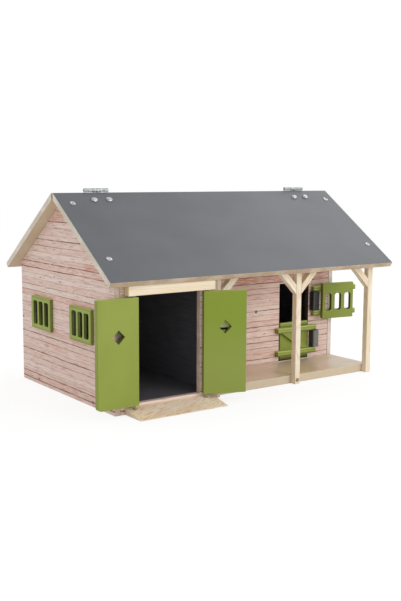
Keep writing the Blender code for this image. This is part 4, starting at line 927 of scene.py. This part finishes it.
def screw(name, crown, outward, radius, height, shank_radius, shank_length, metal, hollow):
    """A crosshead screw in metres, whose head's highest point is at crown."""
    turn = outward.to_track_quat("Z", "Y").to_matrix()
    corners, faces, slots = [], [], []

    def corner(x, y, z):
        corners.append(crown + turn @ Vector((x, y, z)))
        return len(corners) - 1

    def around(ring_radius, level):
        ring = []
        for step in range(CROSS_ANGLES):
            angle = 2.0 * math.pi * step / CROSS_ANGLES
            x, y = ring_radius * math.cos(angle), ring_radius * math.sin(angle)
            ring.append(corner(x, y, level(x, y)))
        return ring

    def top(x, y):
        out = math.hypot(x, y) / radius
        level = -height * DOME_SHARE * out ** DOME_POWER
        arm = min(abs(x), abs(y)) < CROSS_HALF_SHARE * radius
        return level - height * CROSS_DEPTH_SHARE if arm and out < CROSS_REACH else level

    rings = [around(radius * share, top) for share in HEAD_RINGS]
    for ring_radius, depth in ((radius, height), (shank_radius, height),
                               (shank_radius, height + shank_length * STRAIGHT_SHANK_SHARE),
                               (shank_radius * TIP_SHARE, height + shank_length)):
        rings.append(around(ring_radius, lambda x, y, depth=depth: -depth))
    middle = corner(0.0, 0.0, top(0.0, 0.0))
    tip = corner(0.0, 0.0, -height - shank_length)
    for step in range(CROSS_ANGLES):
        after = (step + 1) % CROSS_ANGLES
        faces.append((middle, rings[0][step], rings[0][after]))
        slots.append(1)
        for level, (inner, outer) in enumerate(zip(rings, rings[1:])):
            faces.append((inner[step], outer[step], outer[after], inner[after]))
            # Faces deep in the cross recess take the hollow material, painted shade.
            sunk = level + 1 < len(HEAD_RINGS) and min(
                (crown - corners[i]).dot(outward) for i in faces[-1]) > height * SUNK_SHARE
            slots.append(1 if sunk else 0)
        faces.append((tip, rings[-1][after], rings[-1][step]))
        slots.append(0)
    mesh = bpy.data.meshes.new(name)
    mesh.from_pydata(corners, [], faces)
    mesh.materials.append(metal)
    mesh.materials.append(hollow)
    for polygon, slot in zip(mesh.polygons, slots):
        polygon.material_index = slot
        polygon.use_smooth = True
    mesh.update()
    piece = bpy.data.objects.new(name, mesh)
    bpy.context.scene.collection.objects.link(piece)
    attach(piece, "stable")
    return piece


def crown_of(node, outward):
    """The middle of the head of a CAD screw, at its highest."""
    points = [node.matrix_world @ v.co for v in node.data.vertices]
    top = max(p.dot(outward) for p in points)
    crown = [p for p in points if top - p.dot(outward) < CROWN_MM / MM]
    return sum(crown, Vector()) / len(crown)


ROOF_SCREW_MM = (3.0, 1.0, 1.3, 11.0)      # radius and height of the head, then the shank's
POST_SCREW_MM = (2.1, 0.8, 1.1, 9.0)
WALL_SCREW_MM = (1.7, 0.5, 0.8, 3.5)
STALL_WALL_SCREW_MM = (2.0, 0.5, 0.8, 3.5)
WALL_SCREW_RISE_MM = 0.2
GABLE_SCREWS_MM = ((43.5, 4.8), (166.0, 5.5), (202.3, 71.0))     # y and z
STALL_SCREW_MM = (231.0, 72.0)                                   # x and z


def fit_screws():
    """Crosshead screws: over the CAD ones in the roof and the post, and small ones in walls."""
    hollow = plain_metal("screw_recess", RECESS_SHADE, RECESS_SHADE_DEEP)
    tan = plain_metal("screw_dull", SCREW_TAN, SCREW_TAN_STAIN)
    dark = plain_metal("screw_dark", SCREW_DARK, SCREW_DARK_STAIN)
    brown = plain_metal("screw_brown", SCREW_BROWN, SCREW_BROWN_STAIN)
    bright = nodes["roof_screw_left_high"].data.materials[0]
    slope = Vector((0.0, -math.sin(ROOF_PITCH), math.cos(ROOF_PITCH)))

    def in_metres(sizes):
        return [size / MM for size in sizes]

    for end in ("left_high", "left_low", "right_high", "right_low"):
        node = nodes["roof_screw_" + end]
        piece = screw("cross_screw_roof_" + end, crown_of(node, slope), slope,
                      *in_metres(ROOF_SCREW_MM), bright, hollow)
        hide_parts(node.name)
    node, forward = nodes["middle_post_screw"], Vector((0.0, -1.0, 0.0))
    piece = screw("cross_screw_post", crown_of(node, forward), forward,
                  *in_metres(POST_SCREW_MM), tan, hollow)
    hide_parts(node.name)

    for side, wall, outward in (("left", "left_gable_wall", -1.0),
                                ("right", "right_gable_wall", 1.0)):
        face = house_box(wall)[0 if outward < 0 else 1].x
        for number, (y, z) in enumerate(GABLE_SCREWS_MM, 1):
            screw("wall_screw_" + side + "_" + str(number),
                  world(face + outward * WALL_SCREW_RISE_MM, y, z),
                  Vector((outward, 0.0, 0.0)), *in_metres(WALL_SCREW_MM), brown, hollow)
    face = house_box("stall_front_wall")[0].y
    x, z = STALL_SCREW_MM
    screw("wall_screw_stall", world(x, face - WALL_SCREW_RISE_MM, z),
          Vector((0.0, -1.0, 0.0)), *in_metres(STALL_WALL_SCREW_MM), dark, hollow)


make_camera()
make_stage()
dress_all()
fit_screws()
